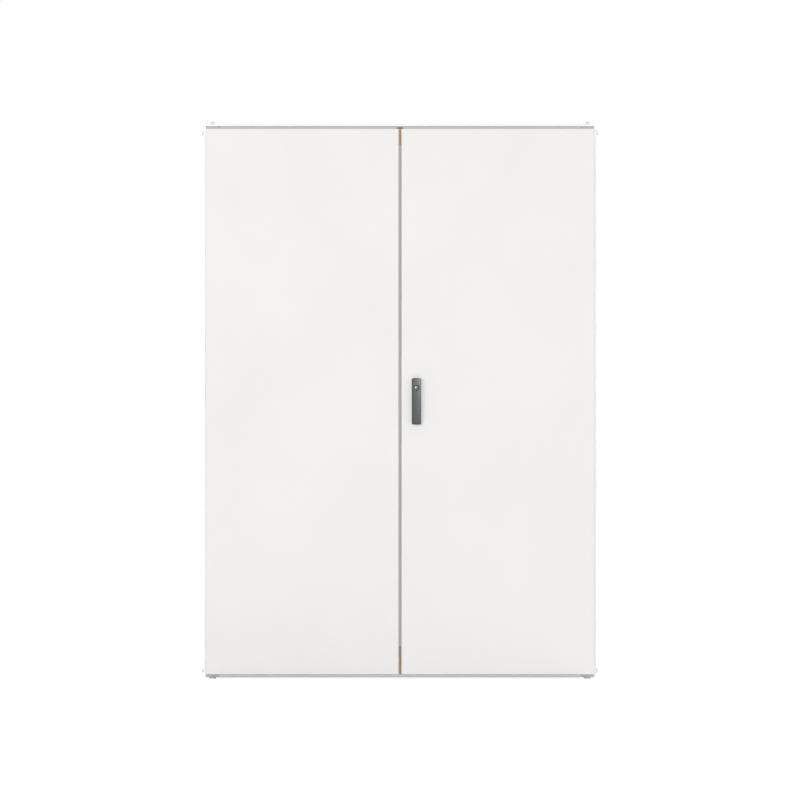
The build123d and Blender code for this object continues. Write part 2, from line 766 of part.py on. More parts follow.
# Spindle: a round boss with the lever's pin across its nose, and the pinion behind
with BuildPart() as handle_spindle:
    with BuildSketch(
        Plane(origin=(HANDLE_X - BOSS / 2, pivot_y, pivot_z), x_dir=(0, 1, 0), z_dir=(1, 0, 0))
    ):
        Circle(BOSS / 2)
        with Locations((BOSS / 2, 0)):
            Rectangle(BOSS, BOSS)
    extrude(amount=BOSS)
    with BuildSketch(
        Plane(
            origin=(HANDLE_X, pivot_y - BOSS, pivot_z), x_dir=(1, 0, 0), z_dir=(0, 1, 0)
        )
    ):
        Circle(BOSS / 2)
    extrude(amount=2 * BOSS, mode=Mode.INTERSECT)
    with BuildSketch(
        Plane(origin=(HANDLE_X, pivot_y, pivot_z), x_dir=(1, 0, 0), z_dir=(0, 1, 0))
    ):
        Circle(BOSS / 2)
    extrude(amount=gear_near - pivot_y)
    with BuildSketch(
        Plane(origin=(HANDLE_X, gear_near, pivot_z), x_dir=(1, 0, 0), z_dir=(0, 1, 0))
    ):
        Circle(root_radius)
        with PolarLocations(0, PINION_TEETH):
            with BuildLine():
                low = ThreePointArc(
                    involute_point(base_radius),
                    involute_point((base_radius + tip_radius) / 2),
                    involute_point(tip_radius),
                )
                high = mirror(low, about=Plane.XZ)
                Line(low @ 1, high @ 1)
                Line(low @ 0, (tooth_foot, (low @ 0).Y))
                Line(high @ 0, (tooth_foot, (high @ 0).Y))
                Line((tooth_foot, (low @ 0).Y), (tooth_foot, (high @ 0).Y))
            make_face()
    extrude(amount=GEAR_THICK)
    with BuildSketch(
        Plane(origin=(HANDLE_X, gear_far, pivot_z), x_dir=(1, 0, 0), z_dir=(0, 1, 0))
    ):
        Circle(GEAR_JOURNAL / 2)
    extrude(amount=bridge_far - gear_far)
    with Locations(Plane(origin=(HANDLE_X, pivot_y, pivot_z), z_dir=(1, 0, 0))):
        Cylinder(
            radius=PIVOT_PIN / 2 + SPINDLE_SLACK, height=2 * BOSS, mode=Mode.SUBTRACT
        )
write(handle_spindle.part, "handle_spindle")

# Pin that the lever lifts on
pin_length = LEVER_SIZE[0] - 2 * BASE_INSET
with BuildPart() as lever_pin:
    with Locations(Plane(origin=(HANDLE_X, pivot_y, pivot_z), z_dir=(1, 0, 0))):
        Cylinder(radius=PIVOT_PIN / 2, height=pin_length)
write(lever_pin.part, "lever_pin")

# Lever: crowned along and across, hollow behind, with a window for the lock cylinder
lever_back = base_face - LEVER_GAP
lever_front = lever_back - LEVER_THICK
lever_centre = (lever_low + lever_high) / 2
half_width, half_length = LEVER_SIZE[0] / 2, LEVER_SIZE[1] / 2
arch_radius = (half_length ** 2 + LEVER_CROWN ** 2) / (2 * LEVER_CROWN)
arch_swing = degrees(asin(half_length / (arch_radius - LEVER_THICK)))
lift = radians(LIFT_ANGLE)
side_view = Plane(origin=(HANDLE_X, pivot_y, pivot_z), x_dir=(0, 1, 0), z_dir=(1, 0, 0))
with BuildPart() as handle_lever:
    with BuildSketch(
        Plane(origin=(HANDLE_X, lever_front, lever_centre), x_dir=(1, 0, 0), z_dir=(0, 0, 1))
    ):
        shoulder = half_width - LEVER_EDGE
        with BuildLine():
            ThreePointArc(
                (-shoulder, LEVER_CROWN_ACROSS), (0, 0), (shoulder, LEVER_CROWN_ACROSS)
            )
            Polyline(
                (shoulder, LEVER_CROWN_ACROSS), (half_width, LEVER_CROWN_ACROSS + LEVER_EDGE),
                (half_width, 2 * LEVER_THICK), (-half_width, 2 * LEVER_THICK),
                (-half_width, LEVER_CROWN_ACROSS + LEVER_EDGE), (-shoulder, LEVER_CROWN_ACROSS),
            )
        make_face()
    arch_centre = (HANDLE_X, lever_front + arch_radius, lever_centre)
    section = handle_lever.pending_faces[0]
    revolve(axis=Axis(arch_centre, (1, 0, 0)), revolution_arc=arch_swing)
    revolve(section, axis=Axis(arch_centre, (-1, 0, 0)), revolution_arc=arch_swing)
    with BuildSketch(
        Plane(origin=(HANDLE_X, lever_back, lever_centre), x_dir=(1, 0, 0), z_dir=(0, -1, 0))
    ):
        with BuildLine():
            for end in (-1, 1):
                corner = end * (half_length - LEVER_END_ROUND)
                ThreePointArc((-half_width, corner), (0, end * half_length), (half_width, corner))
                Line((end * half_width, corner), (end * half_width, -corner))
        make_face()
    extrude(amount=LEVER_THICK, mode=Mode.INTERSECT)
    with BuildSketch(side_view):
        back = lever_back - pivot_y
        front = lever_front - pivot_y
        low_end = lever_low - pivot_z
        high_end = lever_high - pivot_z
        cleared = (back + low_end * sin(lift)) / cos(lift)
        with BuildLine():
            Polyline(
                (front, low_end + LEVER_CROWN + LEVER_END_EDGE),
                (front, high_end - LEVER_CROWN - LEVER_END_EDGE),
                (front + LEVER_CROWN + LEVER_END_EDGE, high_end),
                (back, high_end),
                (back, back * (cos(lift) - 1) / sin(lift)),
                (cleared, low_end),
                (front + LEVER_CROWN + LEVER_END_EDGE, low_end),
                close=True,
            )
        make_face()
    extrude(amount=half_width, both=True, mode=Mode.INTERSECT)
    pocket_half = BOSS / 2 + BOSS_SLACK
    with BuildSketch(side_view):
        Circle(pocket_half)
        for angle in (0, -LIFT_ANGLE):
            Rectangle(
                2 * BOSS, 2 * pocket_half, rotation=angle, align=(Align.MIN, Align.CENTER)
            )
    extrude(amount=pocket_half, both=True, mode=Mode.SUBTRACT)
    pocket_low = pivot_z + pocket_half + LEVER_WALL
    pocket_high = lock_z - lock_window / 2 - LEVER_POCKET_END
    with BuildSketch(
        Plane(
            origin=(HANDLE_X, lever_back, (pocket_low + pocket_high) / 2),
            x_dir=(1, 0, 0),
            z_dir=(0, -1, 0),
        )
    ):
        RectangleRounded(LEVER_POCKET[0], pocket_high - pocket_low, LEVER_WALL)
    extrude(amount=LEVER_POCKET[1], mode=Mode.SUBTRACT)
    with Locations(Plane(origin=(HANDLE_X, lever_back, lock_z), z_dir=(0, 1, 0))):
        Hole(radius=lock_window / 2, depth=LEVER_THICK)
    with Locations(Plane(origin=(HANDLE_X, pivot_y, pivot_z), z_dir=(1, 0, 0))):
        Cylinder(
            radius=PIVOT_PIN / 2 + SPINDLE_SLACK, height=pin_length, mode=Mode.SUBTRACT
        )
write(handle_lever.part, "handle_lever")

# Lock case: an open channel on the door's flange, bridged behind the pinion
case_back = Plane(
    origin=(HANDLE_X, DOOR_BACK, pivot_z), x_dir=(1, 0, 0), z_dir=(0, 1, 0)
)
with BuildPart() as lock_case:
    with BuildSketch(case_back):
        Rectangle(case_width, CASE_HEIGHT)
    extrude(amount=bridge_far - DOOR_BACK)
    with BuildSketch(case_back.offset(CASE_SHEET)):
        Rectangle(case_width - 2 * CASE_SHEET, CASE_HEIGHT)
    extrude(amount=bridge_near - DOOR_BACK - CASE_SHEET, mode=Mode.SUBTRACT)
    with BuildSketch(case_back.offset(bridge_near - DOOR_BACK)):
        for end in (-1, 1):
            with Locations((0, end * (CASE_HEIGHT + CASE_STRAP) / 4)):
                Rectangle(case_width - 2 * CASE_SHEET, (CASE_HEIGHT - CASE_STRAP) / 2)
    extrude(amount=CASE_SHEET, mode=Mode.SUBTRACT)
    with Locations(Plane(origin=(HANDLE_X, DOOR_BACK, pivot_z), z_dir=(0, -1, 0))):
        Hole(radius=BOSS / 2 + GUIDE_SLACK, depth=CASE_SHEET)
    with Locations(Plane(origin=(HANDLE_X, bridge_near, pivot_z), z_dir=(0, -1, 0))):
        Hole(radius=GEAR_JOURNAL / 2 + SPINDLE_SLACK, depth=CASE_SHEET)
write(lock_case.part, "lock_case")

# Lock rods: a rack that meshes with the pinion, carried on to a round rod with a bevelled tip
rod_y = (gear_near + gear_far) / 2
turn = radians(TURN_ANGLE)
rod_travel = pitch_radius * turn
teeth_shift = round(rod_travel / 2 / pitch - 0.5) + 0.5
rack_low = pivot_z + (teeth_shift - RACK_TEETH / 2) * pitch - RACK_END
rack_high = pivot_z + (teeth_shift + RACK_TEETH / 2) * pitch + RACK_END


def lock_rod(side, rod_end):
    """The rod right (1) or left (-1) of the pinion, running up or down to its end."""
    rack_x = HANDLE_X + side * rod_offset
    rack_start = rack_low if side > 0 else 2 * pivot_z - rack_low
    rack_stop = rack_high if side > 0 else 2 * pivot_z - rack_high
    with BuildPart() as rod:
        with BuildSketch(
            Plane(
                origin=(rack_x, gear_near, (rack_start + rack_stop) / 2),
                x_dir=(-side, 0, 0),
                z_dir=(0, 1, 0),
            )
        ):
            Rectangle(RACK_BACK, rack_high - rack_low)
            with GridLocations(pitch, pitch, 1, RACK_TEETH):
                with BuildLine():
                    Polyline(
                        (0, tooth_half + flank * dedendum),
                        (RACK_BACK / 2, tooth_half + flank * dedendum),
                        (RACK_BACK / 2 + dedendum + addendum, tooth_half - flank * addendum),
                        (RACK_BACK / 2 + dedendum + addendum, flank * addendum - tooth_half),
                        (RACK_BACK / 2, -tooth_half - flank * dedendum),
                        (0, -tooth_half - flank * dedendum),
                        close=True,
                    )
                make_face()
        extrude(amount=GEAR_THICK)
        with BuildSketch(Plane(origin=(rack_x, rod_y, rack_stop))):
            Circle(ROD / 2)
        extrude(amount=rod_end - rack_stop)
        tip = rod.faces().sort_by(Axis((0, 0, 0), (0, 0, side)))[-1]
        chamfer(tip.edges(), length=ROD_TIP)
    return rod.part


write(lock_rod(1, TOP - PROFILE - ROD_END_GAP), "upper_rod")
write(lock_rod(-1, BOTTOM + PROFILE + ROD_END_GAP), "lower_rod")

# Rod guides: bored blocks on straps that are fixed to the door's flange
guide_left = SEAM / 2 + DOOR_FLANGE - GUIDE_SIZE[0]
upper_end = TOP - PROFILE - ROD_END_GAP
lower_end = BOTTOM + PROFILE + ROD_END_GAP
guide_places = [
    (HANDLE_X + rod_offset, upper_end - rod_travel - GUIDE_END),
    (HANDLE_X + rod_offset, pivot_z + GUIDE_INNER),
    (HANDLE_X - rod_offset, pivot_z - GUIDE_INNER),
    (HANDLE_X - rod_offset, lower_end + rod_travel + GUIDE_END),
]
with BuildPart() as rod_guides:
    for guide_x, guide_z in guide_places:
        with BuildSketch(Plane.XY.offset(guide_z - GUIDE_SIZE[1] / 2)):
            with Locations((guide_x, rod_y)):
                Rectangle(GUIDE_SIZE[0], 2 * (rod_y - DOOR_BACK))
            with Locations(((guide_left + guide_x) / 2, DOOR_BACK + GUIDE_STRAP / 2)):
                Rectangle(guide_x - guide_left, GUIDE_STRAP)
            with Locations((guide_x, rod_y)):
                Circle(ROD / 2 + GUIDE_SLACK, mode=Mode.SUBTRACT)
        extrude(amount=GUIDE_SIZE[1])
write(rod_guides.part, "rod_guides")
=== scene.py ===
# %% [markdown]
# A two-door distribution cabinet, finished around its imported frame.
# The frame brings every sheet, bolt and hinge at its real size, in metres, with the
# cabinet's feet on z = 0 and its doors facing -Y. This lesson adds what paint, zinc,
# rubber and light do to those parts, and the small fasteners that repeat in rows.

# %% Load the frame
import json
import math

import bmesh
import bpy
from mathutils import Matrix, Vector


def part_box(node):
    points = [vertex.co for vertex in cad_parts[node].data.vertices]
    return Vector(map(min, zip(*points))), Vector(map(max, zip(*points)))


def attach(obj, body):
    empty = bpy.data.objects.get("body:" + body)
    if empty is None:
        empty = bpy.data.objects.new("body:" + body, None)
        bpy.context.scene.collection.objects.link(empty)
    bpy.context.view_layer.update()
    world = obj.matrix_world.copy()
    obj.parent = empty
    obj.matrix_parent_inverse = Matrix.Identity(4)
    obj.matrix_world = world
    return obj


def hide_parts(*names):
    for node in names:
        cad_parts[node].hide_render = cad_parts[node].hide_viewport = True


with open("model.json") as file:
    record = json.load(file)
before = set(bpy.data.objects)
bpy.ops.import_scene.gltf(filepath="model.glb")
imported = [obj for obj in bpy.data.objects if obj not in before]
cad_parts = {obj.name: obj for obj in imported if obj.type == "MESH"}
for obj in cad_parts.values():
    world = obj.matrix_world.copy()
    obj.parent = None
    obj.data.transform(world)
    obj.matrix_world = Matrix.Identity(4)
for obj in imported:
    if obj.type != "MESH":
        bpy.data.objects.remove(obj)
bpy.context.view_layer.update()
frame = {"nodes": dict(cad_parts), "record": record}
nodes = frame["nodes"]

# %% [markdown]
# Sheet metal shows its folds only when flat faces stay flat and bends shade smoothly.
# Smoothing by angle keeps an edge sharper than the limit crisp, and weighting the
# normals by area lets a large flat skin win over the narrow bend beside it. Bolt heads
# and mouldings are never knife-sharp, so those nodes also get a small live bevel. The
# planar dissolve before it turns triangles back into whole faces for the bevel to follow.

# %% Shade the folds and break the sharp edges
FOLD_ANGLE = math.radians(32)
BEVEL_ANGLE = math.radians(28)
FLAT_ANGLE = math.radians(0.5)
MERGE_DISTANCE = 0.00001
BEVELLED = {
    "foot_bolts": 0.0006,
    "roof_bolts": 0.0006,
    "panel_screws": 0.0004,
    "lever_pin": 0.0004,
    "lock_cylinder": 0.0003,
    "handle_base": 0.0004,
    "door_buffer_bottom": 0.0008,
    "rod_guides": 0.0006,
    "hinge_arms_left": 0.0004,
    "hinge_arms_right": 0.0004,
    "left_door_hinges": 0.0004,
    "right_door_hinges": 0.0004,
    "mullion_brackets": 0.0003,
    "corner_blocks_bottom": 0.0006,
    "corner_blocks_top": 0.0006,
}


def crisp_tree():
    """Marks as sharp each edge that folds by more than the given angle."""
    tree = bpy.data.node_groups.new("crisp folds", "GeometryNodeTree")
    face = tree.interface
    face.new_socket("Geometry", in_out="INPUT", socket_type="NodeSocketGeometry")
    limit = face.new_socket("Angle", in_out="INPUT", socket_type="NodeSocketFloat")
    face.new_socket("Geometry", in_out="OUTPUT", socket_type="NodeSocketGeometry")
    given, out = tree.nodes.new("NodeGroupInput"), tree.nodes.new("NodeGroupOutput")
    fold = tree.nodes.new("GeometryNodeInputMeshEdgeAngle")
    past = tree.nodes.new("FunctionNodeCompare")
    past.data_type = "FLOAT"
    past.operation = "GREATER_THAN"
    crisp = tree.nodes.new("GeometryNodeSetShadeSmooth")
    crisp.domain = "EDGE"
    crisp.inputs["Shade Smooth"].default_value = False
    tree.links.new(given.outputs["Geometry"], crisp.inputs["Geometry"])
    tree.links.new(fold.outputs["Unsigned Angle"], past.inputs["A"])
    tree.links.new(given.outputs["Angle"], past.inputs["B"])
    tree.links.new(past.outputs["Result"], crisp.inputs["Selection"])
    tree.links.new(crisp.outputs["Geometry"], out.inputs["Geometry"])
    return tree, limit.identifier


crisp_folds, crisp_angle = crisp_tree()


def smooth_folds(piece, bevel=0.0):
    """Smooth shading on gentle bends, crisp or finely bevelled edges past the angle."""
    weld = piece.modifiers.new("weld seams", "WELD")
    weld.merge_threshold = MERGE_DISTANCE
    if bevel:
        whole = piece.modifiers.new("whole faces", "DECIMATE")
        whole.decimate_type = "DISSOLVE"
        whole.angle_limit = FLAT_ANGLE
        edge = piece.modifiers.new("broken edges", "BEVEL")
        edge.width = bevel
        edge.segments = 2
        edge.limit_method = "ANGLE"
        edge.angle_limit = BEVEL_ANGLE
    for polygon in piece.data.polygons:
        polygon.use_smooth = True
    crisp = piece.modifiers.new("crisp folds", "NODES")
    crisp.node_group = crisp_folds
    crisp[crisp_angle] = FOLD_ANGLE
    flatten = piece.modifiers.new("flat skins", "WEIGHTED_NORMAL")
    flatten.keep_sharp = True
    flatten.weight = 100


for name, node in nodes.items():
    smooth_folds(node, BEVELLED.get(name, 0.0))
print("smoothed", len(nodes), "nodes, bevelled", len(BEVELLED))

# %% [markdown]
# Every finish here starts from one Principled shader whose roughness and bump come
# from noise in Object coordinates, so that a pattern has a size in metres and stays on
# its piece when a door swings. Helpers keep each material to a few readable lines.

# %% Material helpers


def new_material(name, color, roughness, metallic=0.0):
    """A material with its Principled shader set; the nodes are returned for more."""
    material = bpy.data.materials.new(name)
    material.use_nodes = True
    tree = material.node_tree
    shader = tree.nodes["Principled BSDF"]
    shader.inputs["Base Color"].default_value = (*color, 1)
    shader.inputs["Roughness"].default_value = roughness
    shader.inputs["Metallic"].default_value = metallic
    material.diffuse_color = (*color, 1)
    return material, tree, shader


def noise_on_object(tree, scale, detail=2.0, stretch=(1, 1, 1)):
    """Noise in metres of the piece itself; scale is features per metre."""
    place = tree.nodes.new("ShaderNodeTexCoord")
    mapping = tree.nodes.new("ShaderNodeMapping")
    mapping.inputs["Scale"].default_value = stretch
    noise = tree.nodes.new("ShaderNodeTexNoise")
    noise.inputs["Scale"].default_value = scale
    noise.inputs["Detail"].default_value = detail
    tree.links.new(place.outputs["Object"], mapping.inputs["Vector"])
    tree.links.new(mapping.outputs["Vector"], noise.inputs["Vector"])
    return noise


def ramp(tree, source, low, high, start=0.3, end=0.7):
    """Maps a noise value to the range between two numbers or two colours."""
    if isinstance(low, (int, float)):
        node = tree.nodes.new("ShaderNodeMapRange")
        node.inputs["From Min"].default_value = start
        node.inputs["From Max"].default_value = end
        node.inputs["To Min"].default_value = low
        node.inputs["To Max"].default_value = high
        tree.links.new(source, node.inputs["Value"])
        return node.outputs["Result"]
    node = tree.nodes.new("ShaderNodeValToRGB")
    node.color_ramp.elements[0].position = start
    node.color_ramp.elements[0].color = (*low, 1)
    node.color_ramp.elements[1].position = end
    node.color_ramp.elements[1].color = (*high, 1)
    tree.links.new(source, node.inputs["Fac"])
    return node.outputs["Color"]


def bump(tree, shader, height, strength, distance):
    """Raises the surface by a height pattern; distance is in metres."""
    node = tree.nodes.new("ShaderNodeBump")
    node.inputs["Strength"].default_value = strength
    node.inputs["Distance"].default_value = distance
    tree.links.new(height, node.inputs["Height"])
    tree.links.new(node.outputs["Normal"], shader.inputs["Normal"])


print("material helpers defined")

# %% [markdown]
# Powder coat melts into a film with a faint orange-peel skin a couple of millimetres
# across, and its gloss drifts slightly over a large sheet. Both are noise: a fine one
# for the bump and a broad one for roughness and a touch of colour.

# %% Powder-coated sheet


def powder_coat(name, color, roughness=0.42, drift=0.012, peel=0.18):
    """Baked powder coat: fine orange peel, and a colour drift of a few percent."""
    material, tree, shader = new_material(name, color, roughness)
    broad = noise_on_object(tree, scale=2.2, detail=3.0)
    darker = tuple(max(0, c - drift) for c in color)
    lighter = tuple(min(1, c + drift) for c in color)
    tone = ramp(tree, broad.outputs["Fac"], darker, lighter)
    tree.links.new(tone, shader.inputs["Base Color"])
    patches = noise_on_object(tree, scale=6.0, detail=4.0)
    gloss = ramp(tree, patches.outputs["Fac"], roughness - 0.05, roughness + 0.05)
    tree.links.new(gloss, shader.inputs["Roughness"])
    skin = noise_on_object(tree, scale=420.0, detail=1.0)
    bump(tree, shader, skin.outputs["Fac"], strength=peel, distance=0.0002)
    return material


body_paint = powder_coat("body_powder_coat", (0.94, 0.94, 0.935))
door_paint = powder_coat("door_powder_coat", (0.786, 0.777, 0.763))
frame_paint = powder_coat("frame_powder_coat", (0.565, 0.56, 0.565), roughness=0.48)
# The mullion's coat is a lighter copy of the frame coat: painted light in the recessed
# seam between the doors.
mullion_painted_light = powder_coat("mullion_powder_coat", (0.69, 0.68, 0.672), roughness=0.48)
# This pale coat paints light and shade. On the bottom rail it is lighter than the frame
# coat, painted light as if lit from the floor. On the back panel it is darker than the
# body coat, painted shade against the light inside the body. On the feet, taken as pale
# plastic, it is also painted light where they sit in shade.
painted_light_shade_coat = powder_coat("pale_powder_coat", (0.71, 0.705, 0.70))
cast_paint = powder_coat("cast_corner_coat", (0.52, 0.52, 0.51), roughness=0.55, peel=0.4)
print("powder coats made")

# %% [markdown]
# Zinc plate is a thin metal film. Bright zinc is bluish silver with brushed streaks,
# and yellow passivation lays an iridescent gold over it that turns pink and green in
# patches, which a colour ramp on a stretched noise gives.

# %% Plated steel


STREAKS = (1, 1, 12)
ROSE_TO = 0.0005
OLIVE_FROM = 0.0012


def zinc_plate(name, color, roughness=0.32):
    """Bright zinc: cloudy silver with fine streaks in its gloss."""
    material, tree, shader = new_material(name, color, roughness, metallic=1.0)
    cloud = noise_on_object(tree, scale=60.0, detail=4.0)
    dull = tuple(c * 0.86 for c in color)
    tone = ramp(tree, cloud.outputs["Fac"], dull, color)
    tree.links.new(tone, shader.inputs["Base Color"])
    lines = noise_on_object(tree, scale=300.0, stretch=STREAKS)
    gloss = ramp(tree, lines.outputs["Fac"], roughness - 0.08, roughness + 0.12)
    tree.links.new(gloss, shader.inputs["Roughness"])
    bump(tree, shader, lines.outputs["Fac"], strength=0.12, distance=0.0001)
    return material


def yellow_passivation(name):
    """Yellow zinc: rose gold on the plate, olive gold on its raised tab, and clouds."""
    material, tree, shader = new_material(
        name, (0.55, 0.40, 0.20), roughness=0.42, metallic=0.4
    )
    cloud = noise_on_object(tree, scale=90.0, detail=3.0)
    rose = ramp(tree, cloud.outputs["Fac"], (0.76, 0.50, 0.365), (0.70, 0.475, 0.305))
    olive = ramp(tree, cloud.outputs["Fac"], (0.53, 0.39, 0.215), (0.475, 0.385, 0.24))
    place = tree.nodes.new("ShaderNodeTexCoord")
    across = tree.nodes.new("ShaderNodeSeparateXYZ")
    tree.links.new(place.outputs["Object"], across.inputs["Vector"])
    side = ramp(tree, across.outputs["X"], 0.0, 1.0, ROSE_TO, OLIVE_FROM)
    hues = tree.nodes.new("ShaderNodeMix")
    hues.data_type = "RGBA"
    tree.links.new(side, hues.inputs["Factor"])
    tree.links.new(rose, hues.inputs["A"])
    tree.links.new(olive, hues.inputs["B"])
    tree.links.new(hues.outputs["Result"], shader.inputs["Base Color"])
    grain = noise_on_object(tree, scale=500.0)
    bump(tree, shader, grain.outputs["Fac"], strength=0.1, distance=0.0001)
    return material


bright_zinc = zinc_plate("bright_zinc", (0.72, 0.74, 0.76))
# The roof bolts and the side screws take a paler copy of the bright zinc: painted light,
# so that their heads look brightly lit.
bolt_zinc_painted_light = zinc_plate("pale_bolt_zinc", (0.91, 0.92, 0.94), roughness=0.38)
yellow_zinc = yellow_passivation("yellow_zinc")
print("plated finishes made")

# %% [markdown]
# The door seal is closed-cell foam, poured as a bead: black, matt and finely pitted.
# The buffers and the rod guides are moulded, with a soft even grain.

# %% Rubber, foam and moulded plastic


def pitted_foam(name):
    """Closed-cell foam: near black, matt, with pits about half a millimetre wide."""
    material, tree, shader = new_material(name, (0.025, 0.025, 0.027), roughness=0.85)
    cells = noise_on_object(tree, scale=1600.0)
    bump(tree, shader, cells.outputs["Fac"], strength=0.6, distance=0.0004)
    tone = noise_on_object(tree, scale=40.0, detail=3.0)
    gray = ramp(tree, tone.outputs["Fac"], (0.02, 0.02, 0.022), (0.04, 0.04, 0.042))
    tree.links.new(gray, shader.inputs["Base Color"])
    return material


def moulded(name, color, roughness=0.5):
    """Moulded plastic with a spark-eroded grain."""
    material, tree, shader = new_material(name, color, roughness)
    grain = noise_on_object(tree, scale=1100.0)
    bump(tree, shader, grain.outputs["Fac"], strength=0.25, distance=0.00015)
    worn = noise_on_object(tree, scale=35.0, detail=4.0)
    gloss = ramp(tree, worn.outputs["Fac"], roughness - 0.06, roughness + 0.08)
    tree.links.new(gloss, shader.inputs["Roughness"])
    return material


black_foam = pitted_foam("black_seal_foam")
grey_moulded = moulded("dark_grey_moulding", (0.16, 0.16, 0.16))
buffer_grey = moulded("buffer_grey_moulding", (0.44, 0.44, 0.435), roughness=0.6)
# The dark grey in the middle of the buffer above the doors is painted shade for the
# shadowed gap there.
buffer_nose_painted_shade = moulded("buffer_dark_rubber", (0.14, 0.145, 0.145), roughness=0.7)
carrier_grey = moulded("buffer_carrier", (0.56, 0.56, 0.56), roughness=0.6)
lock_chrome = zinc_plate("lock_plug_nickel", (0.29, 0.29, 0.285), roughness=0.24)


def satin_metal_paint(name, color, roughness, metallic):
    """The handle's finish: die-cast metal under thin satin paint with fine sparkle."""
    material, tree, shader = new_material(name, color, roughness, metallic)
    cloud = noise_on_object(tree, scale=30.0, detail=3.0)
    dull = tuple(c * 0.92 for c in color)
    bright = tuple(c * 1.06 for c in color)
    tone = ramp(tree, cloud.outputs["Fac"], dull, bright)
    tree.links.new(tone, shader.inputs["Base Color"])
    flakes = noise_on_object(tree, scale=1500.0)
    gloss = ramp(tree, flakes.outputs["Fac"], roughness - 0.05, roughness + 0.07)
    tree.links.new(gloss, shader.inputs["Roughness"])
    bump(tree, shader, flakes.outputs["Fac"], strength=0.12, distance=0.0001)
    return material


handle_finish = satin_metal_paint(
    "handle_satin_grey", (0.046, 0.048, 0.0495), roughness=0.48, metallic=0.25
)
print("soft and moulded finishes made")

# %% [markdown]
# Each node keeps its CAD shape and takes the finish that its record slot names, apart
# from the few listed with a finish of their own.

# %% Hand out the finishes
finishes = {
    "body_paint": body_paint,
    "door_paint": door_paint,
    "frame_paint": frame_paint,
    "cast_corner": cast_paint,
    "zinc_steel": bright_zinc,
    "yellow_zinc": yellow_zinc,
    "black_rubber": black_foam,
    "grey_plastic": grey_moulded,
    "handle_grey": handle_finish,
    "chrome_lock": lock_chrome,
}
# Most of these own finishes paint light and shade: the mullion, the bottom rail, the
# feet, the roof bolts and the side screws are painted lighter, and the back panel is
# painted darker.
own_finish = {
    "back_panel": painted_light_shade_coat,
    "centre_mullion": mullion_painted_light,
    "bottom_rail_front": painted_light_shade_coat,
    "roof_bolts": bolt_zinc_painted_light,
    "foot_bolts": painted_light_shade_coat,
    "panel_screws": bolt_zinc_painted_light,
    "door_buffer_bottom": buffer_grey,
}
slot_of = {part["node"]: part["material_slot"] for part in frame["record"]["subparts"]}
for name, node in nodes.items():
    node.data.materials.clear()
    node.data.materials.append(own_finish.get(name, finishes[slot_of[name]]))
print("finishes given to", len(nodes), "nodes")

# %% [markdown]
# The door seals are foam, poured as one round-backed bead along the door's flange. A
# bead that follows a closed path suits Geometry Nodes: a rectangle with filleted corners
# is the path, half an ellipse is the bead's section, and a little noise makes its height
# vary as poured foam does. The tree's inputs are the bead's real sizes. The helpers in
# this cell also serve the turned, ribbed and repeated pieces further down.

# %% Helpers for node trees and meshes


def new_tree(title, floats):
    """An empty Geometry Nodes tree with named float inputs and one geometry each way."""
    tree = bpy.data.node_groups.new(title, "GeometryNodeTree")
    face = tree.interface
    face.new_socket("Geometry", in_out="INPUT", socket_type="NodeSocketGeometry")
    sockets = {}
    for label in floats:
        made = face.new_socket(label, in_out="INPUT", socket_type="NodeSocketFloat")
        sockets[label] = made.identifier
    face.new_socket("Geometry", in_out="OUTPUT", socket_type="NodeSocketGeometry")
    return tree, sockets


def link(tree, *pairs):
    """Links each output to its input."""
    for source, target in pairs:
        tree.links.new(source, target)


def vector_of(tree, x=0.0, y=0.0, z=0.0):
    """Combines three numbers or outputs into one vector output."""
    node = tree.nodes.new("ShaderNodeCombineXYZ")
    for value, target in zip((x, y, z), node.inputs):
        if isinstance(value, (int, float)):
            target.default_value = value
        else:
            tree.links.new(value, target)
    return node.outputs[0]


def plain_mesh(holder, name):
    """The modifier's result as a plain object at the origin; the holder is removed."""
    graph = bpy.context.evaluated_depsgraph_get()
    mesh = bpy.data.meshes.new_from_object(holder.evaluated_get(graph))
    mesh.name = name
    piece = bpy.data.objects.new(name, mesh)
    bpy.context.scene.collection.objects.link(piece)
    bpy.data.objects.remove(holder)
    return piece


def bridge(work, rings):
    """Joins each ring to the next and caps both ends; the faces between are returned."""
    sides = []
    for near, far in zip(rings, rings[1:]):
        for index in range(len(near)):
            after = (index + 1) % len(near)
            corners = (near[index], near[after], far[after], far[index])
            sides.append(work.faces.new(corners))
    work.faces.new(rings[0])
    work.faces.new(rings[-1])
    return sides


def closed_piece(work, name):
    """The closed mesh as an object, with its faces turned outwards."""
    bmesh.ops.recalc_face_normals(work, faces=work.faces)
    mesh = bpy.data.meshes.new(name)
    work.to_mesh(mesh)
    work.free()
    piece = bpy.data.objects.new(name, mesh)
    bpy.context.scene.collection.objects.link(piece)
    return piece


def face_outwards(piece):
    """Merges doubles and turns every face of a closed mesh outwards."""
    work = bmesh.new()
    work.from_mesh(piece.data)
    bmesh.ops.remove_doubles(work, verts=work.verts, dist=MERGE_DISTANCE)
    bmesh.ops.recalc_face_normals(work, faces=work.faces)
    work.to_mesh(piece.data)
    work.free()


print("tree and mesh helpers defined")

# %% [markdown]
# The tree follows the way the bead is laid: a path with rounded corners, cut into equal
# steps, swept with a half-round section that is closed underneath, nudged by noise and
# stood up in the door's plane. Sweeping a curve keeps the bead one closed body all the
# way round, where a bevelled box would show its corners.

# %% Foam bead tree
BEAD_SIDES = 14
BEAD_STEP = 0.006
CORNER_STEPS = 8
WANDER_SCALE = 14.0


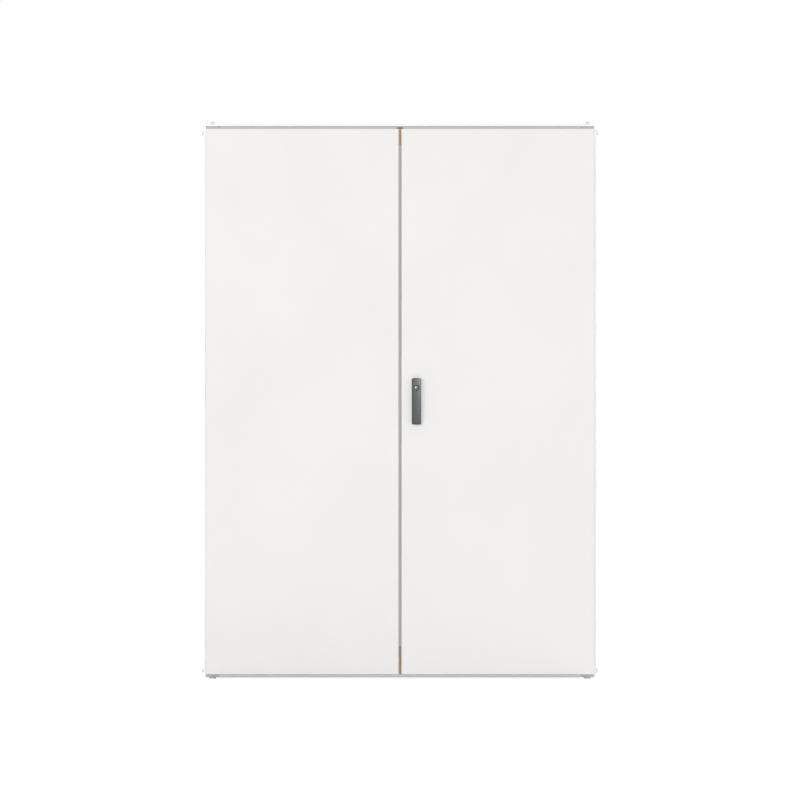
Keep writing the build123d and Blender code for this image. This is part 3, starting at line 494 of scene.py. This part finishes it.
def bead_tree(material):
    """A half-round bead along a rectangle with rounded corners, standing in XZ."""
    names = ["Ring width", "Ring height", "Corner radius", "Bead width", "Bead height",
             "Wander"]
    tree, sockets = new_tree("foam bead", names)
    new = tree.nodes.new
    given, out = new("NodeGroupInput"), new("NodeGroupOutput")
    path = new("GeometryNodeCurvePrimitiveQuadrilateral")
    corners = new("GeometryNodeFilletCurve")
    corners.mode = "POLY"
    corners.inputs["Count"].default_value = CORNER_STEPS
    corners.inputs["Limit Radius"].default_value = True
    steps = new("GeometryNodeResampleCurve")
    steps.mode = "LENGTH"
    steps.inputs["Length"].default_value = BEAD_STEP
    upright = new("GeometryNodeSetCurveNormal")
    upright.mode = "Z_UP"
    section = new("GeometryNodeCurveArc")
    section.mode = "RADIUS"
    section.inputs["Resolution"].default_value = BEAD_SIDES
    section.inputs["Radius"].default_value = 1.0
    section.inputs["Start Angle"].default_value = 0.0
    section.inputs["Sweep Angle"].default_value = math.pi
    section.inputs["Connect Center"].default_value = True
    shape = new("GeometryNodeTransform")
    half = new("ShaderNodeMath")
    half.operation = "MULTIPLY"
    half.inputs[1].default_value = 0.5
    sweep = new("GeometryNodeCurveToMesh")
    stand = new("GeometryNodeTransform")
    stand.inputs["Rotation"].default_value = (math.pi / 2, 0, math.pi)
    poured = new("ShaderNodeTexNoise")
    poured.inputs["Scale"].default_value = WANDER_SCALE
    centred = new("ShaderNodeMath")
    centred.operation = "SUBTRACT"
    centred.inputs[1].default_value = 1.0
    amount = new("ShaderNodeMath")
    amount.operation = "MULTIPLY"
    shift = new("GeometryNodeSetPosition")
    along = new("GeometryNodeInputNormal")
    push = new("ShaderNodeVectorMath")
    push.operation = "SCALE"
    smooth = new("GeometryNodeSetShadeSmooth")
    real = new("GeometryNodeRealizeInstances")
    paint = new("GeometryNodeSetMaterial")
    paint.inputs["Material"].default_value = material
    flat = vector_of(tree, half.outputs[0], given.outputs["Bead height"], 1.0)
    link(
        tree,
        (given.outputs["Ring width"], path.inputs["Width"]),
        (given.outputs["Ring height"], path.inputs["Height"]),
        (path.outputs["Curve"], corners.inputs["Curve"]),
        (given.outputs["Corner radius"], corners.inputs["Radius"]),
        (corners.outputs["Curve"], steps.inputs["Curve"]),
        (steps.outputs["Curve"], upright.inputs["Curve"]),
        (given.outputs["Bead width"], half.inputs[0]),
        (section.outputs["Curve"], shape.inputs["Geometry"]),
        (flat, shape.inputs["Scale"]),
        (upright.outputs["Curve"], sweep.inputs["Curve"]),
        (shape.outputs["Geometry"], sweep.inputs["Profile Curve"]),
        (sweep.outputs["Mesh"], shift.inputs["Geometry"]),
        (poured.outputs["Fac"], centred.inputs[0]),
        (centred.outputs[0], amount.inputs[0]),
        (given.outputs["Wander"], amount.inputs[1]),
        (along.outputs["Normal"], push.inputs[0]),
        (amount.outputs[0], push.inputs["Scale"]),
        (push.outputs["Vector"], shift.inputs["Offset"]),
        (shift.outputs["Geometry"], stand.inputs["Geometry"]),
        (stand.outputs["Geometry"], smooth.inputs["Geometry"]),
        (smooth.outputs["Geometry"], real.inputs["Geometry"]),
        (real.outputs["Geometry"], paint.inputs["Geometry"]),
        (paint.outputs["Geometry"], out.inputs["Geometry"]),
    )
    return tree, sockets


bead, bead_sockets = bead_tree(black_foam)
print("foam bead tree:", len(bead.nodes), "nodes")

# %% [markdown]
# Each door's bead takes its length and height from the box of the CAD seal, so it lies
# where the seal was designed to meet the frame. The modifier's result is made plain, and
# moved by its own measured ends onto the flange, because noise shifts them a little.

# %% Pour a bead on each door
BEAD_WIDTH = 0.0098
BEAD_CORNER = 0.007
BEAD_WANDER = 0.0006
SEAL_WIDTH = 0.010
BEAD_SHY = 0.0001


def pour_bead(side):
    """A bead in the space of one door's seal, on its flange."""
    low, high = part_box(f"{side}_door_gasket")
    holder = bpy.data.objects.new("bead path", bpy.data.meshes.new("bead path"))
    bpy.context.scene.collection.objects.link(holder)
    sweep = holder.modifiers.new("foam bead", "NODES")
    sweep.node_group = bead
    sizes = {
        "Ring width": high.x - low.x - SEAL_WIDTH,
        "Ring height": high.z - low.z - SEAL_WIDTH,
        "Corner radius": BEAD_CORNER,
        "Bead width": BEAD_WIDTH,
        "Bead height": high.y - low.y - BEAD_SHY,
        "Wander": BEAD_WANDER,
    }
    for label, size in sizes.items():
        sweep[bead_sockets[label]] = size
    piece = plain_mesh(holder, f"{side}_door_seal_bead")
    points = [v.co.copy() for v in piece.data.vertices]
    top = max(p.y for p in points)
    bottom = min(p.y for p in points)
    middle = Vector(((low.x + high.x) / 2, low.y - bottom, (low.z + high.z) / 2))
    for vertex, point in zip(piece.data.vertices, points):
        vertex.co = point + middle
    face_outwards(piece)
    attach(piece, f"{side}_door")
    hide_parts(f"{side}_door_gasket")
    print(piece.name, len(piece.data.polygons), "faces, height", round(top - bottom, 5))


for side in ("left", "right"):
    pour_bead(side)

# %% [markdown]
# The buffer above the doors is a light carrier with a nose in its middle. Both are
# finely ribbed along the door, so the plain block is replaced by a strip whose ribbed
# section is drawn and pulled along its length. The faces in the middle of the lower ribs
# take a dark grey, painted shade for the shadowed gap that shows there, and the rest
# stays the carrier.

# %% Ribbed buffer above the doors
RIBS = 3
RIB_HEIGHT = 0.0008
RIB_STEPS = 6
RIB_FULLNESS = 0.7
STRIP_ROUND = 0.0012
STRIP_TURN = 0.3 * STRIP_ROUND
NOSE_HALF = 0.0095
NOSE_RIBS = 2


def ribbed_strip(name, node):
    """A strip with rounded ribs along X, in the space of its CAD node."""
    low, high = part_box(node)
    rib = (high.z - low.z) / RIBS
    front = []
    for index in range(RIBS):
        for step in range(RIB_STEPS + (index == RIBS - 1)):
            share = step / RIB_STEPS
            rise = RIB_HEIGHT * math.sin(math.pi * share) ** RIB_FULLNESS
            front.append((low.y + RIB_HEIGHT - rise, low.z + (index + share) * rib))
    outline = [(high.y, low.z)] + front + [(high.y, high.z)]
    middle = (low.x + high.x) / 2
    nose_top = low.z + NOSE_RIBS * rib
    stations = (
        (low.x, STRIP_ROUND),
        (low.x + STRIP_TURN, STRIP_TURN),
        (low.x + STRIP_ROUND, 0.0),
        (middle - NOSE_HALF, 0.0),
        (middle + NOSE_HALF, 0.0),
        (high.x - STRIP_ROUND, 0.0),
        (high.x - STRIP_TURN, STRIP_TURN),
        (high.x, STRIP_ROUND),
    )
    work = bmesh.new()
    rings = [
        [work.verts.new((x, min(y + inset, high.y), z)) for y, z in outline]
        for x, inset in stations
    ]
    for face in bridge(work, rings):
        centre = face.calc_center_median()
        # The middle faces of the lower ribs take the dark grey of painted shade.
        if abs(centre.x - middle) < NOSE_HALF and centre.z < nose_top:
            face.material_index = 1
    piece = closed_piece(work, name)
    piece.data.materials.append(carrier_grey)
    piece.data.materials.append(buffer_nose_painted_shade)
    smooth_folds(piece)
    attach(piece, "cabinet")
    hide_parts(node)
    print(name, len(piece.data.polygons), "faces")


ribbed_strip("door_buffer_strip", "door_buffer_top")

# %% [markdown]
# The lock's plug shows as a small bright dome in the lever's window, with its key slot
# upright in the middle. The dome is turned from a curve of rings, and a Boolean cuts the
# slot with a long rounded cutter, so that the slot's edges stay crisp on the curved face.

# %% Domed lock plug
DOME_RISE = 0.0008
DOME_SIDES = 40
DOME_RINGS = 8
KEY_SLOT = (0.0022, 0.0088)
SLOT_DEEP = 0.006
SLOT_SIDES = 20


def rings_to_piece(name, rings):
    """A closed object from rings of points, capped at both ends."""
    work = bmesh.new()
    bridge(work, [[work.verts.new(point) for point in ring] for ring in rings])
    return closed_piece(work, name)


def ring_at(centre, y, half_x, half_z, sides):
    """Points of an ellipse in XZ at a depth y."""
    turns = [2 * math.pi * index / sides for index in range(sides)]
    return [
        (centre.x + half_x * math.cos(turn), y, centre.z + half_z * math.sin(turn))
        for turn in turns
    ]


low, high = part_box("lock_cylinder")
plug_centre = (low + high) / 2
plug_radius = (high.x - low.x) / 2
dome_rings = [ring_at(plug_centre, high.y, plug_radius, plug_radius, DOME_SIDES)]
ball = (plug_radius**2 + DOME_RISE**2) / (2 * DOME_RISE)
edge_turn = math.asin(plug_radius / ball)
for index in range(DOME_RINGS):
    turn = edge_turn * (1 - index / DOME_RINGS)
    radius = ball * math.sin(turn)
    rise = DOME_RISE - ball * (1 - math.cos(turn))
    dome_rings.append(ring_at(plug_centre, low.y - rise, radius, radius, DOME_SIDES))
lock_dome = rings_to_piece("lock_plug_dome", dome_rings)
cutter = rings_to_piece("slot cutter", [
    ring_at(plug_centre, y, KEY_SLOT[0] / 2, KEY_SLOT[1] / 2, SLOT_SIDES)
    for y in (low.y + SLOT_DEEP, low.y - SLOT_DEEP)
])
cut = lock_dome.modifiers.new("key slot", "BOOLEAN")
cut.operation = "DIFFERENCE"
cut.solver = "EXACT"
cut.object = cutter
lock_dome = plain_mesh(lock_dome, "lock_plug")
bpy.data.objects.remove(cutter)
lock_dome.data.materials.clear()
lock_dome.data.materials.append(lock_chrome)
smooth_folds(lock_dome)
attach(lock_dome, "right_door")
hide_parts("lock_cylinder")
print("lock plug", len(lock_dome.data.polygons), "faces")

# %% [markdown]
# Screws and rivets repeat in rows. One head of each kind is turned on a small lathe
# function, then a Geometry Nodes tree puts a copy on every point it is given. Real screws
# stop at any angle, so each copy spins by a random amount about its own axis, with a
# fixed seed that gives the same turn every run.

# %% One head of each kind


def turned_head(name, profile, sides, axis, star=0.0, star_rings=()):
    """A closed head turned about an axis from (radius, height) pairs, base first."""
    out = Vector({"-y": (0, -1, 0), "+y": (0, 1, 0), "+z": (0, 0, 1)}[axis])
    right = Vector((1, 0, 0))
    up = out.cross(right)
    work = bmesh.new()
    rings = []
    for index, (radius, height) in enumerate(profile):
        ring = []
        for side in range(sides):
            angle = 2 * math.pi * side / sides
            reach = radius * (1 + star * (-1) ** side if index in star_rings else 1)
            offset = right * math.cos(angle) * reach + up * math.sin(angle) * reach
            ring.append(work.verts.new(offset + out * height))
        rings.append(ring)
    bridge(work, rings)
    return closed_piece(work, name)


SINK = -0.0003
SCREW_PROFILE = [
    (0.0030, SINK), (0.0030, 0.0009), (0.0026, 0.0016), (0.0018, 0.0020),
    (0.0014, 0.0020), (0.0012, 0.0010), (0.0004, 0.0008),
]
DRIVE_RINGS = (4, 5)
DRIVE_STAR = 0.16
RIVET_PROFILE = [
    (0.0022, SINK), (0.0022, 0.0003), (0.0019, 0.0009), (0.0012, 0.0013),
    (0.0006, 0.0013), (0.0004, 0.0007),
]
WELD_PROFILE = [
    (0.0034, SINK), (0.0034, 0.00012), (0.0028, 0.00030), (0.0022, 0.00010),
    (0.0006, 0.00006),
]
print("profiles of", len((SCREW_PROFILE, RIVET_PROFILE, WELD_PROFILE)), "heads")

# %% [markdown]
# One tree serves every row. It takes the head, the finish and the seed as inputs, turns
# each point into a copy of the head, and makes the copies real at the end, so that the
# row is one plain mesh that can ride on a door.

# %% Tree that sets a head on every point


def row_tree():
    """Instances the given head on each point and spins it about its axis."""
    spins = [f"Spin about {letter}" for letter in "XYZ"]
    tree, sockets = new_tree("fastener row", spins)
    face = tree.interface
    head = face.new_socket("Head", in_out="INPUT", socket_type="NodeSocketObject")
    finish = face.new_socket("Finish", in_out="INPUT", socket_type="NodeSocketMaterial")
    seed = face.new_socket("Seed", in_out="INPUT", socket_type="NodeSocketInt")
    sockets.update(Head=head.identifier, Finish=finish.identifier, Seed=seed.identifier)
    new = tree.nodes.new
    given, out = new("NodeGroupInput"), new("NodeGroupOutput")
    points = new("GeometryNodeMeshToPoints")
    shape = new("GeometryNodeObjectInfo")
    turn = new("FunctionNodeRandomValue")
    turn.data_type = "FLOAT_VECTOR"
    turn.inputs["Min"].default_value = (0, 0, 0)
    place = new("GeometryNodeInstanceOnPoints")
    real = new("GeometryNodeRealizeInstances")
    paint = new("GeometryNodeSetMaterial")
    full = vector_of(tree, *(given.outputs[spin] for spin in spins))
    link(
        tree,
        (given.outputs["Geometry"], points.inputs["Mesh"]),
        (points.outputs["Points"], place.inputs["Points"]),
        (given.outputs["Head"], shape.inputs["Object"]),
        (shape.outputs["Geometry"], place.inputs["Instance"]),
        (full, turn.inputs["Max"]),
        (given.outputs["Seed"], turn.inputs["Seed"]),
        (turn.outputs["Value"], place.inputs["Rotation"]),
        (place.outputs["Instances"], real.inputs["Geometry"]),
        (real.outputs["Geometry"], paint.inputs["Geometry"]),
        (given.outputs["Finish"], paint.inputs["Material"]),
        (paint.outputs["Geometry"], out.inputs["Geometry"]),
    )
    return tree, sockets


rows, row_sockets = row_tree()


def set_row(
    name, places, profile, axis, material, body, seed, sides=12, star=0.0
):
    """One plain mesh with a head at each place, riding on its body."""
    star_rings = DRIVE_RINGS if star else ()
    head = turned_head("head", profile, sides, axis, star, star_rings)
    mesh = bpy.data.meshes.new("places")
    mesh.from_pydata([tuple(p) for p in places], [], [])
    holder = bpy.data.objects.new("places", mesh)
    bpy.context.scene.collection.objects.link(holder)
    modifier = holder.modifiers.new("fastener row", "NODES")
    modifier.node_group = rows
    spin = {"-y": "Y", "+y": "Y", "+z": "Z"}[axis]
    for letter in "XYZ":
        most = 2 * math.pi if letter == spin else 0.0
        modifier[row_sockets[f"Spin about {letter}"]] = most
    modifier[row_sockets["Head"]] = head
    modifier[row_sockets["Finish"]] = material
    modifier[row_sockets["Seed"]] = seed
    piece = plain_mesh(holder, name)
    bpy.data.objects.remove(head)
    smooth_folds(piece)
    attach(piece, body)
    print(name, len(places), "heads,", len(piece.data.polygons), "faces")


print("fastener row tree:", len(rows.nodes), "nodes")

# %% [markdown]
# Thin steel plates close the floor and are screwed down along their front and back
# edges, near the corners and in the middle. The places come from the plates' own box.

# %% Screws on the floor plates
PLATE_SHEET = 0.0015
PLATE_COUNT = 3
PLATE_GAP = 0.002
SCREW_IN = (0.022, 0.0072)
floor_low, floor_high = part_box("floor_plates")
plate_pitch = (floor_high.x - floor_low.x + PLATE_GAP) / PLATE_COUNT
places = []
for index in range(PLATE_COUNT):
    left = floor_low.x + index * plate_pitch
    right = left + plate_pitch - PLATE_GAP
    for x in (left + SCREW_IN[0], (left + right) / 2, right - SCREW_IN[0]):
        for y in (floor_low.y + SCREW_IN[1], floor_high.y - SCREW_IN[1]):
            places.append((x, y, floor_low.z + PLATE_SHEET))
set_row("floor_plate_screws", places, SCREW_PROFILE, "+z", bright_zinc, "cabinet",
        seed=4, star=DRIVE_STAR)

# %% [markdown]
# The fixed half of each hinge is riveted to the post's face, one rivet above its arm and
# one below. They only show when a door stands open.

# %% Rivets beside the hinge arms
FOOT_STRIP = 0.0032
RIVET_APART = 0.0065
HINGE_COUNT = 3
ARM_HALF = 0.012
FOOT_THICK = 0.003
places = []
for side in ("left", "right"):
    low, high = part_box(f"hinge_arms_{side}")
    x = low.x + FOOT_STRIP if side == "right" else high.x - FOOT_STRIP
    pitch = (high.z - low.z - 2 * ARM_HALF) / (HINGE_COUNT - 1)
    for index in range(HINGE_COUNT):
        level = low.z + ARM_HALF + index * pitch
        for up in (-RIVET_APART, RIVET_APART):
            places.append((x, high.y - FOOT_THICK, level + up))
set_row("hinge_foot_rivets", places, RIVET_PROFILE, "-y", bright_zinc, "cabinet",
        seed=7, sides=10)

# %% [markdown]
# The upper lock rod runs through two moulded guides. A thin strap holds each on the
# door's folded flange with two rivets.

# %% Rivets on the upper rod guides
STRAP_THICK = 0.002
STRAP_RIVET_IN = 0.0068
STRAP_RIVET_UP = 0.0042
GUIDE_HALF = 0.008
MIDDLE_GUIDE = 1.307
guide_low, guide_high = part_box("rod_guides")
places = [
    (guide_low.x + STRAP_RIVET_IN, guide_low.y + STRAP_THICK, level + up)
    for level in (MIDDLE_GUIDE, guide_high.z - GUIDE_HALF)
    for up in (-STRAP_RIVET_UP, STRAP_RIVET_UP)
]
set_row("guide_strap_rivets", places, RIVET_PROFILE, "+y", bright_zinc, "right_door",
        seed=9, sides=10)

# %% [markdown]
# The braces are spot-welded to the door's skin. Each weld leaves a shallow ring on the
# brace's foot, and under paint only its relief can be seen, so the rings take the door's
# own finish. The two braces lie at the thirds of the door, a sixth of its height from its
# middle, and each has a foot along its upper and its lower edge.

# %% Spot welds along the braces
BRACE_SHEET = 0.0015
WELD_PITCH = 0.055
WELD_IN = 0.020
FOOT_MIDDLE = 0.0085
BRACE_LEVELS = (1 / 3, 2 / 3)
for side in ("left", "right"):
    low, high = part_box(f"{side}_door_braces")
    door_low, door_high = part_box(f"{side}_door_leaf")
    count = int((high.x - low.x - 2 * WELD_IN) / WELD_PITCH) + 1
    step = (high.x - low.x - 2 * WELD_IN) / (count - 1)
    places = []
    for share in BRACE_LEVELS:
        level = door_low.z + share * (door_high.z - door_low.z)
        reach = (high.z - low.z) / 2 - (door_high.z - door_low.z) / 6
        for edge in (-1, 1):
            for index in range(count):
                places.append((
                    low.x + WELD_IN + index * step,
                    low.y + BRACE_SHEET,
                    level + edge * (reach - FOOT_MIDDLE),
                ))
    set_row(f"{side}_brace_spot_welds", places, WELD_PROFILE, "+y", door_paint,
            f"{side}_door", seed=11, sides=8)

# %% [markdown]
# The photograph looks straight at the doors from far away. A long lens far back keeps
# the sides and the roof out of sight, and its distance sets how wide the picture is.

# %% Camera
PHOTO_SIZE = 800
BODY_TOP_PIXEL = 124.3
BODY_LOW_PIXEL = 677.2
CAMERA_BACK = 40.0
CAMERA_SEES = 200.0

roof_low, roof_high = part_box("roof_panel")
rail_low, rail_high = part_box("bottom_rail_front")
body_middle = (roof_high.z + rail_low.z) / 2
pixel = (roof_high.z - rail_low.z) / (BODY_LOW_PIXEL - BODY_TOP_PIXEL)
picture_width = pixel * PHOTO_SIZE
middle_pixel = (BODY_TOP_PIXEL + BODY_LOW_PIXEL) / 2
camera_data = bpy.data.cameras.new("photo_camera")
camera_data.sensor_width = 36.0
camera_data.lens = camera_data.sensor_width * CAMERA_BACK / picture_width
camera_data.clip_end = CAMERA_SEES
camera = bpy.data.objects.new("photo_camera", camera_data)
camera.location = (
    0,
    rail_low.y - CAMERA_BACK,
    body_middle + (middle_pixel - PHOTO_SIZE / 2) * pixel,
)
camera.rotation_euler = (math.pi / 2, 0, 0)
bpy.context.scene.collection.objects.link(camera)
bpy.context.scene.camera = camera
print("camera", tuple(camera.location), "lens", round(camera_data.lens, 1))

# %% [markdown]
# The set is a pale floor under a white world, which gives an even light from all round.
# A soft sun from nearly behind the camera does most of the work: it reaches into the
# seam between the doors and leaves a narrow shadow on one side of the handle. It stays
# out of reflections, because facing metal would throw it straight back at the camera. A
# weaker one from the left keeps the cabinet's left edge from going dark beside the door.
# Two more suns from behind keep the sides, the back and the roof as bright as the front.
# A small soft lamp up at the right is linked to the handle alone, and shapes its
# crown. A still smaller one up at the left is linked to the lock's plug, and leaves a
# glint on the upper part of its dome. The background shows as plain white to the camera
# and in reflections, whatever the light's level.

# %% Floor, world and lamps
FLOOR_HALF = 60.0
FLOOR_WHITE = 2.2
FLOOR_SHADE = 0.12
FLOOR_PAINT = (0.88, 0.88, 0.88)
WORLD_LIGHT = 0.50
HANDLE_POINT = (0.057, -0.2, 0.97)
LOCK_POINT = (0.057, -0.2, 0.985)


def pale_floor():
    """A square of floor at z = 0 that shows white but keeps the cabinet's shadow."""
    mesh = bpy.data.meshes.new("floor")
    corners = [(-1, -1), (1, -1), (1, 1), (-1, 1)]
    points = [(x * FLOOR_HALF, y * FLOOR_HALF, 0) for x, y in corners]
    mesh.from_pydata(points, [], [(0, 1, 2, 3)])
    floor = bpy.data.objects.new("floor", mesh)
    bpy.context.scene.collection.objects.link(floor)
    material, tree, shader = new_material("pale_floor", FLOOR_PAINT, roughness=0.9)
    rays = tree.nodes.new("ShaderNodeLightPath")
    shown = tree.nodes.new("ShaderNodeBsdfDiffuse")
    shown.inputs["Color"].default_value = (FLOOR_WHITE, FLOOR_WHITE, FLOOR_WHITE, 1)
    plain = tree.nodes.new("ShaderNodeEmission")
    plain.inputs["Strength"].default_value = 1.0
    lifted = tree.nodes.new("ShaderNodeMixShader")
    lifted.inputs["Fac"].default_value = FLOOR_SHADE
    mix = tree.nodes.new("ShaderNodeMixShader")
    out = tree.nodes["Material Output"]
    link(
        tree,
        (plain.outputs["Emission"], lifted.inputs[1]),
        (shown.outputs["BSDF"], lifted.inputs[2]),
        (rays.outputs["Is Camera Ray"], mix.inputs["Fac"]),
        (shader.outputs["BSDF"], mix.inputs[1]),
        (lifted.outputs["Shader"], mix.inputs[2]),
        (mix.outputs["Shader"], out.inputs["Surface"]),
    )
    mesh.materials.append(material)


def white_world():
    """A world of even light that the camera and reflections see as white."""
    world = bpy.data.worlds.new("white_world")
    bpy.context.scene.world = world
    world.use_nodes = True
    tree = world.node_tree
    tree.nodes.clear()
    rays = tree.nodes.new("ShaderNodeLightPath")
    seen = tree.nodes.new("ShaderNodeMath")
    seen.operation = "MAXIMUM"
    through = tree.nodes.new("ShaderNodeMath")
    through.operation = "MAXIMUM"
    lit = tree.nodes.new("ShaderNodeBackground")
    lit.inputs["Strength"].default_value = WORLD_LIGHT
    shown = tree.nodes.new("ShaderNodeBackground")
    shown.inputs["Strength"].default_value = 1.0
    for background in (lit, shown):
        background.inputs["Color"].default_value = (1, 1, 1, 1)
    mix = tree.nodes.new("ShaderNodeMixShader")
    out = tree.nodes.new("ShaderNodeOutputWorld")
    link(
        tree,
        (rays.outputs["Is Camera Ray"], seen.inputs[0]),
        (rays.outputs["Is Glossy Ray"], seen.inputs[1]),
        (seen.outputs[0], through.inputs[0]),
        (rays.outputs["Is Transmission Ray"], through.inputs[1]),
        (through.outputs[0], mix.inputs["Fac"]),
        (lit.outputs[0], mix.inputs[1]),
        (shown.outputs[0], mix.inputs[2]),
        (mix.outputs[0], out.inputs["Surface"]),
    )


def soft_lamp(name, place, target, size, power):
    """A square area lamp at a place, turned to its target."""
    data = bpy.data.lights.new(name, "AREA")
    data.size = size
    data.energy = power
    lamp = bpy.data.objects.new(name, data)
    lamp.location = place
    aim = Vector(target) - Vector(place)
    lamp.rotation_euler = aim.to_track_quat("-Z", "Y").to_euler()
    bpy.context.scene.collection.objects.link(lamp)
    return lamp


def light_only(lamp, pieces):
    """Lets a lamp shine on these pieces and on nothing else."""
    lit = bpy.data.collections.new(f"{lamp.name}_pieces")
    for piece in pieces:
        lit.objects.link(piece)
    lamp.light_linking.receiver_collection = lit
    lamp.visible_camera = False


def soft_sun(name, right, up, strength, spread):
    """A sun some degrees to the right of straight ahead of the doors, and some up."""
    data = bpy.data.lights.new(name, "SUN")
    data.energy = strength
    data.angle = math.radians(spread)
    sun = bpy.data.objects.new(name, data)
    sun.rotation_euler = (math.radians(90 - up), 0, math.radians(right))
    bpy.context.scene.collection.objects.link(sun)
    return sun


pale_floor()
white_world()
front_sun = soft_sun("front_sun", right=3, up=1.5, strength=1.28, spread=4)
left_fill = soft_sun("left_fill", right=-32, up=8, strength=0.48, spread=12)
for sun in (front_sun, left_fill):
    sun.visible_glossy = False
soft_sun("right_back_sun", right=125, up=25, strength=1.0, spread=12)
soft_sun("left_back_sun", right=-125, up=25, strength=1.0, spread=12)
crown_lamp = soft_lamp(
    "crown_lamp", place=(0.34, -0.52, 1.25), target=HANDLE_POINT, size=0.3, power=7.4
)
light_only(crown_lamp, [nodes["handle_lever"], nodes["handle_base"]])
lock_lamp = soft_lamp(
    "lock_lamp", place=(-0.06, -0.81, 1.12), target=LOCK_POINT, size=0.12, power=0.5
)
light_only(lock_lamp, [lock_dome])
bpy.context.scene.view_settings.view_transform = "Standard"
print("set is ready")
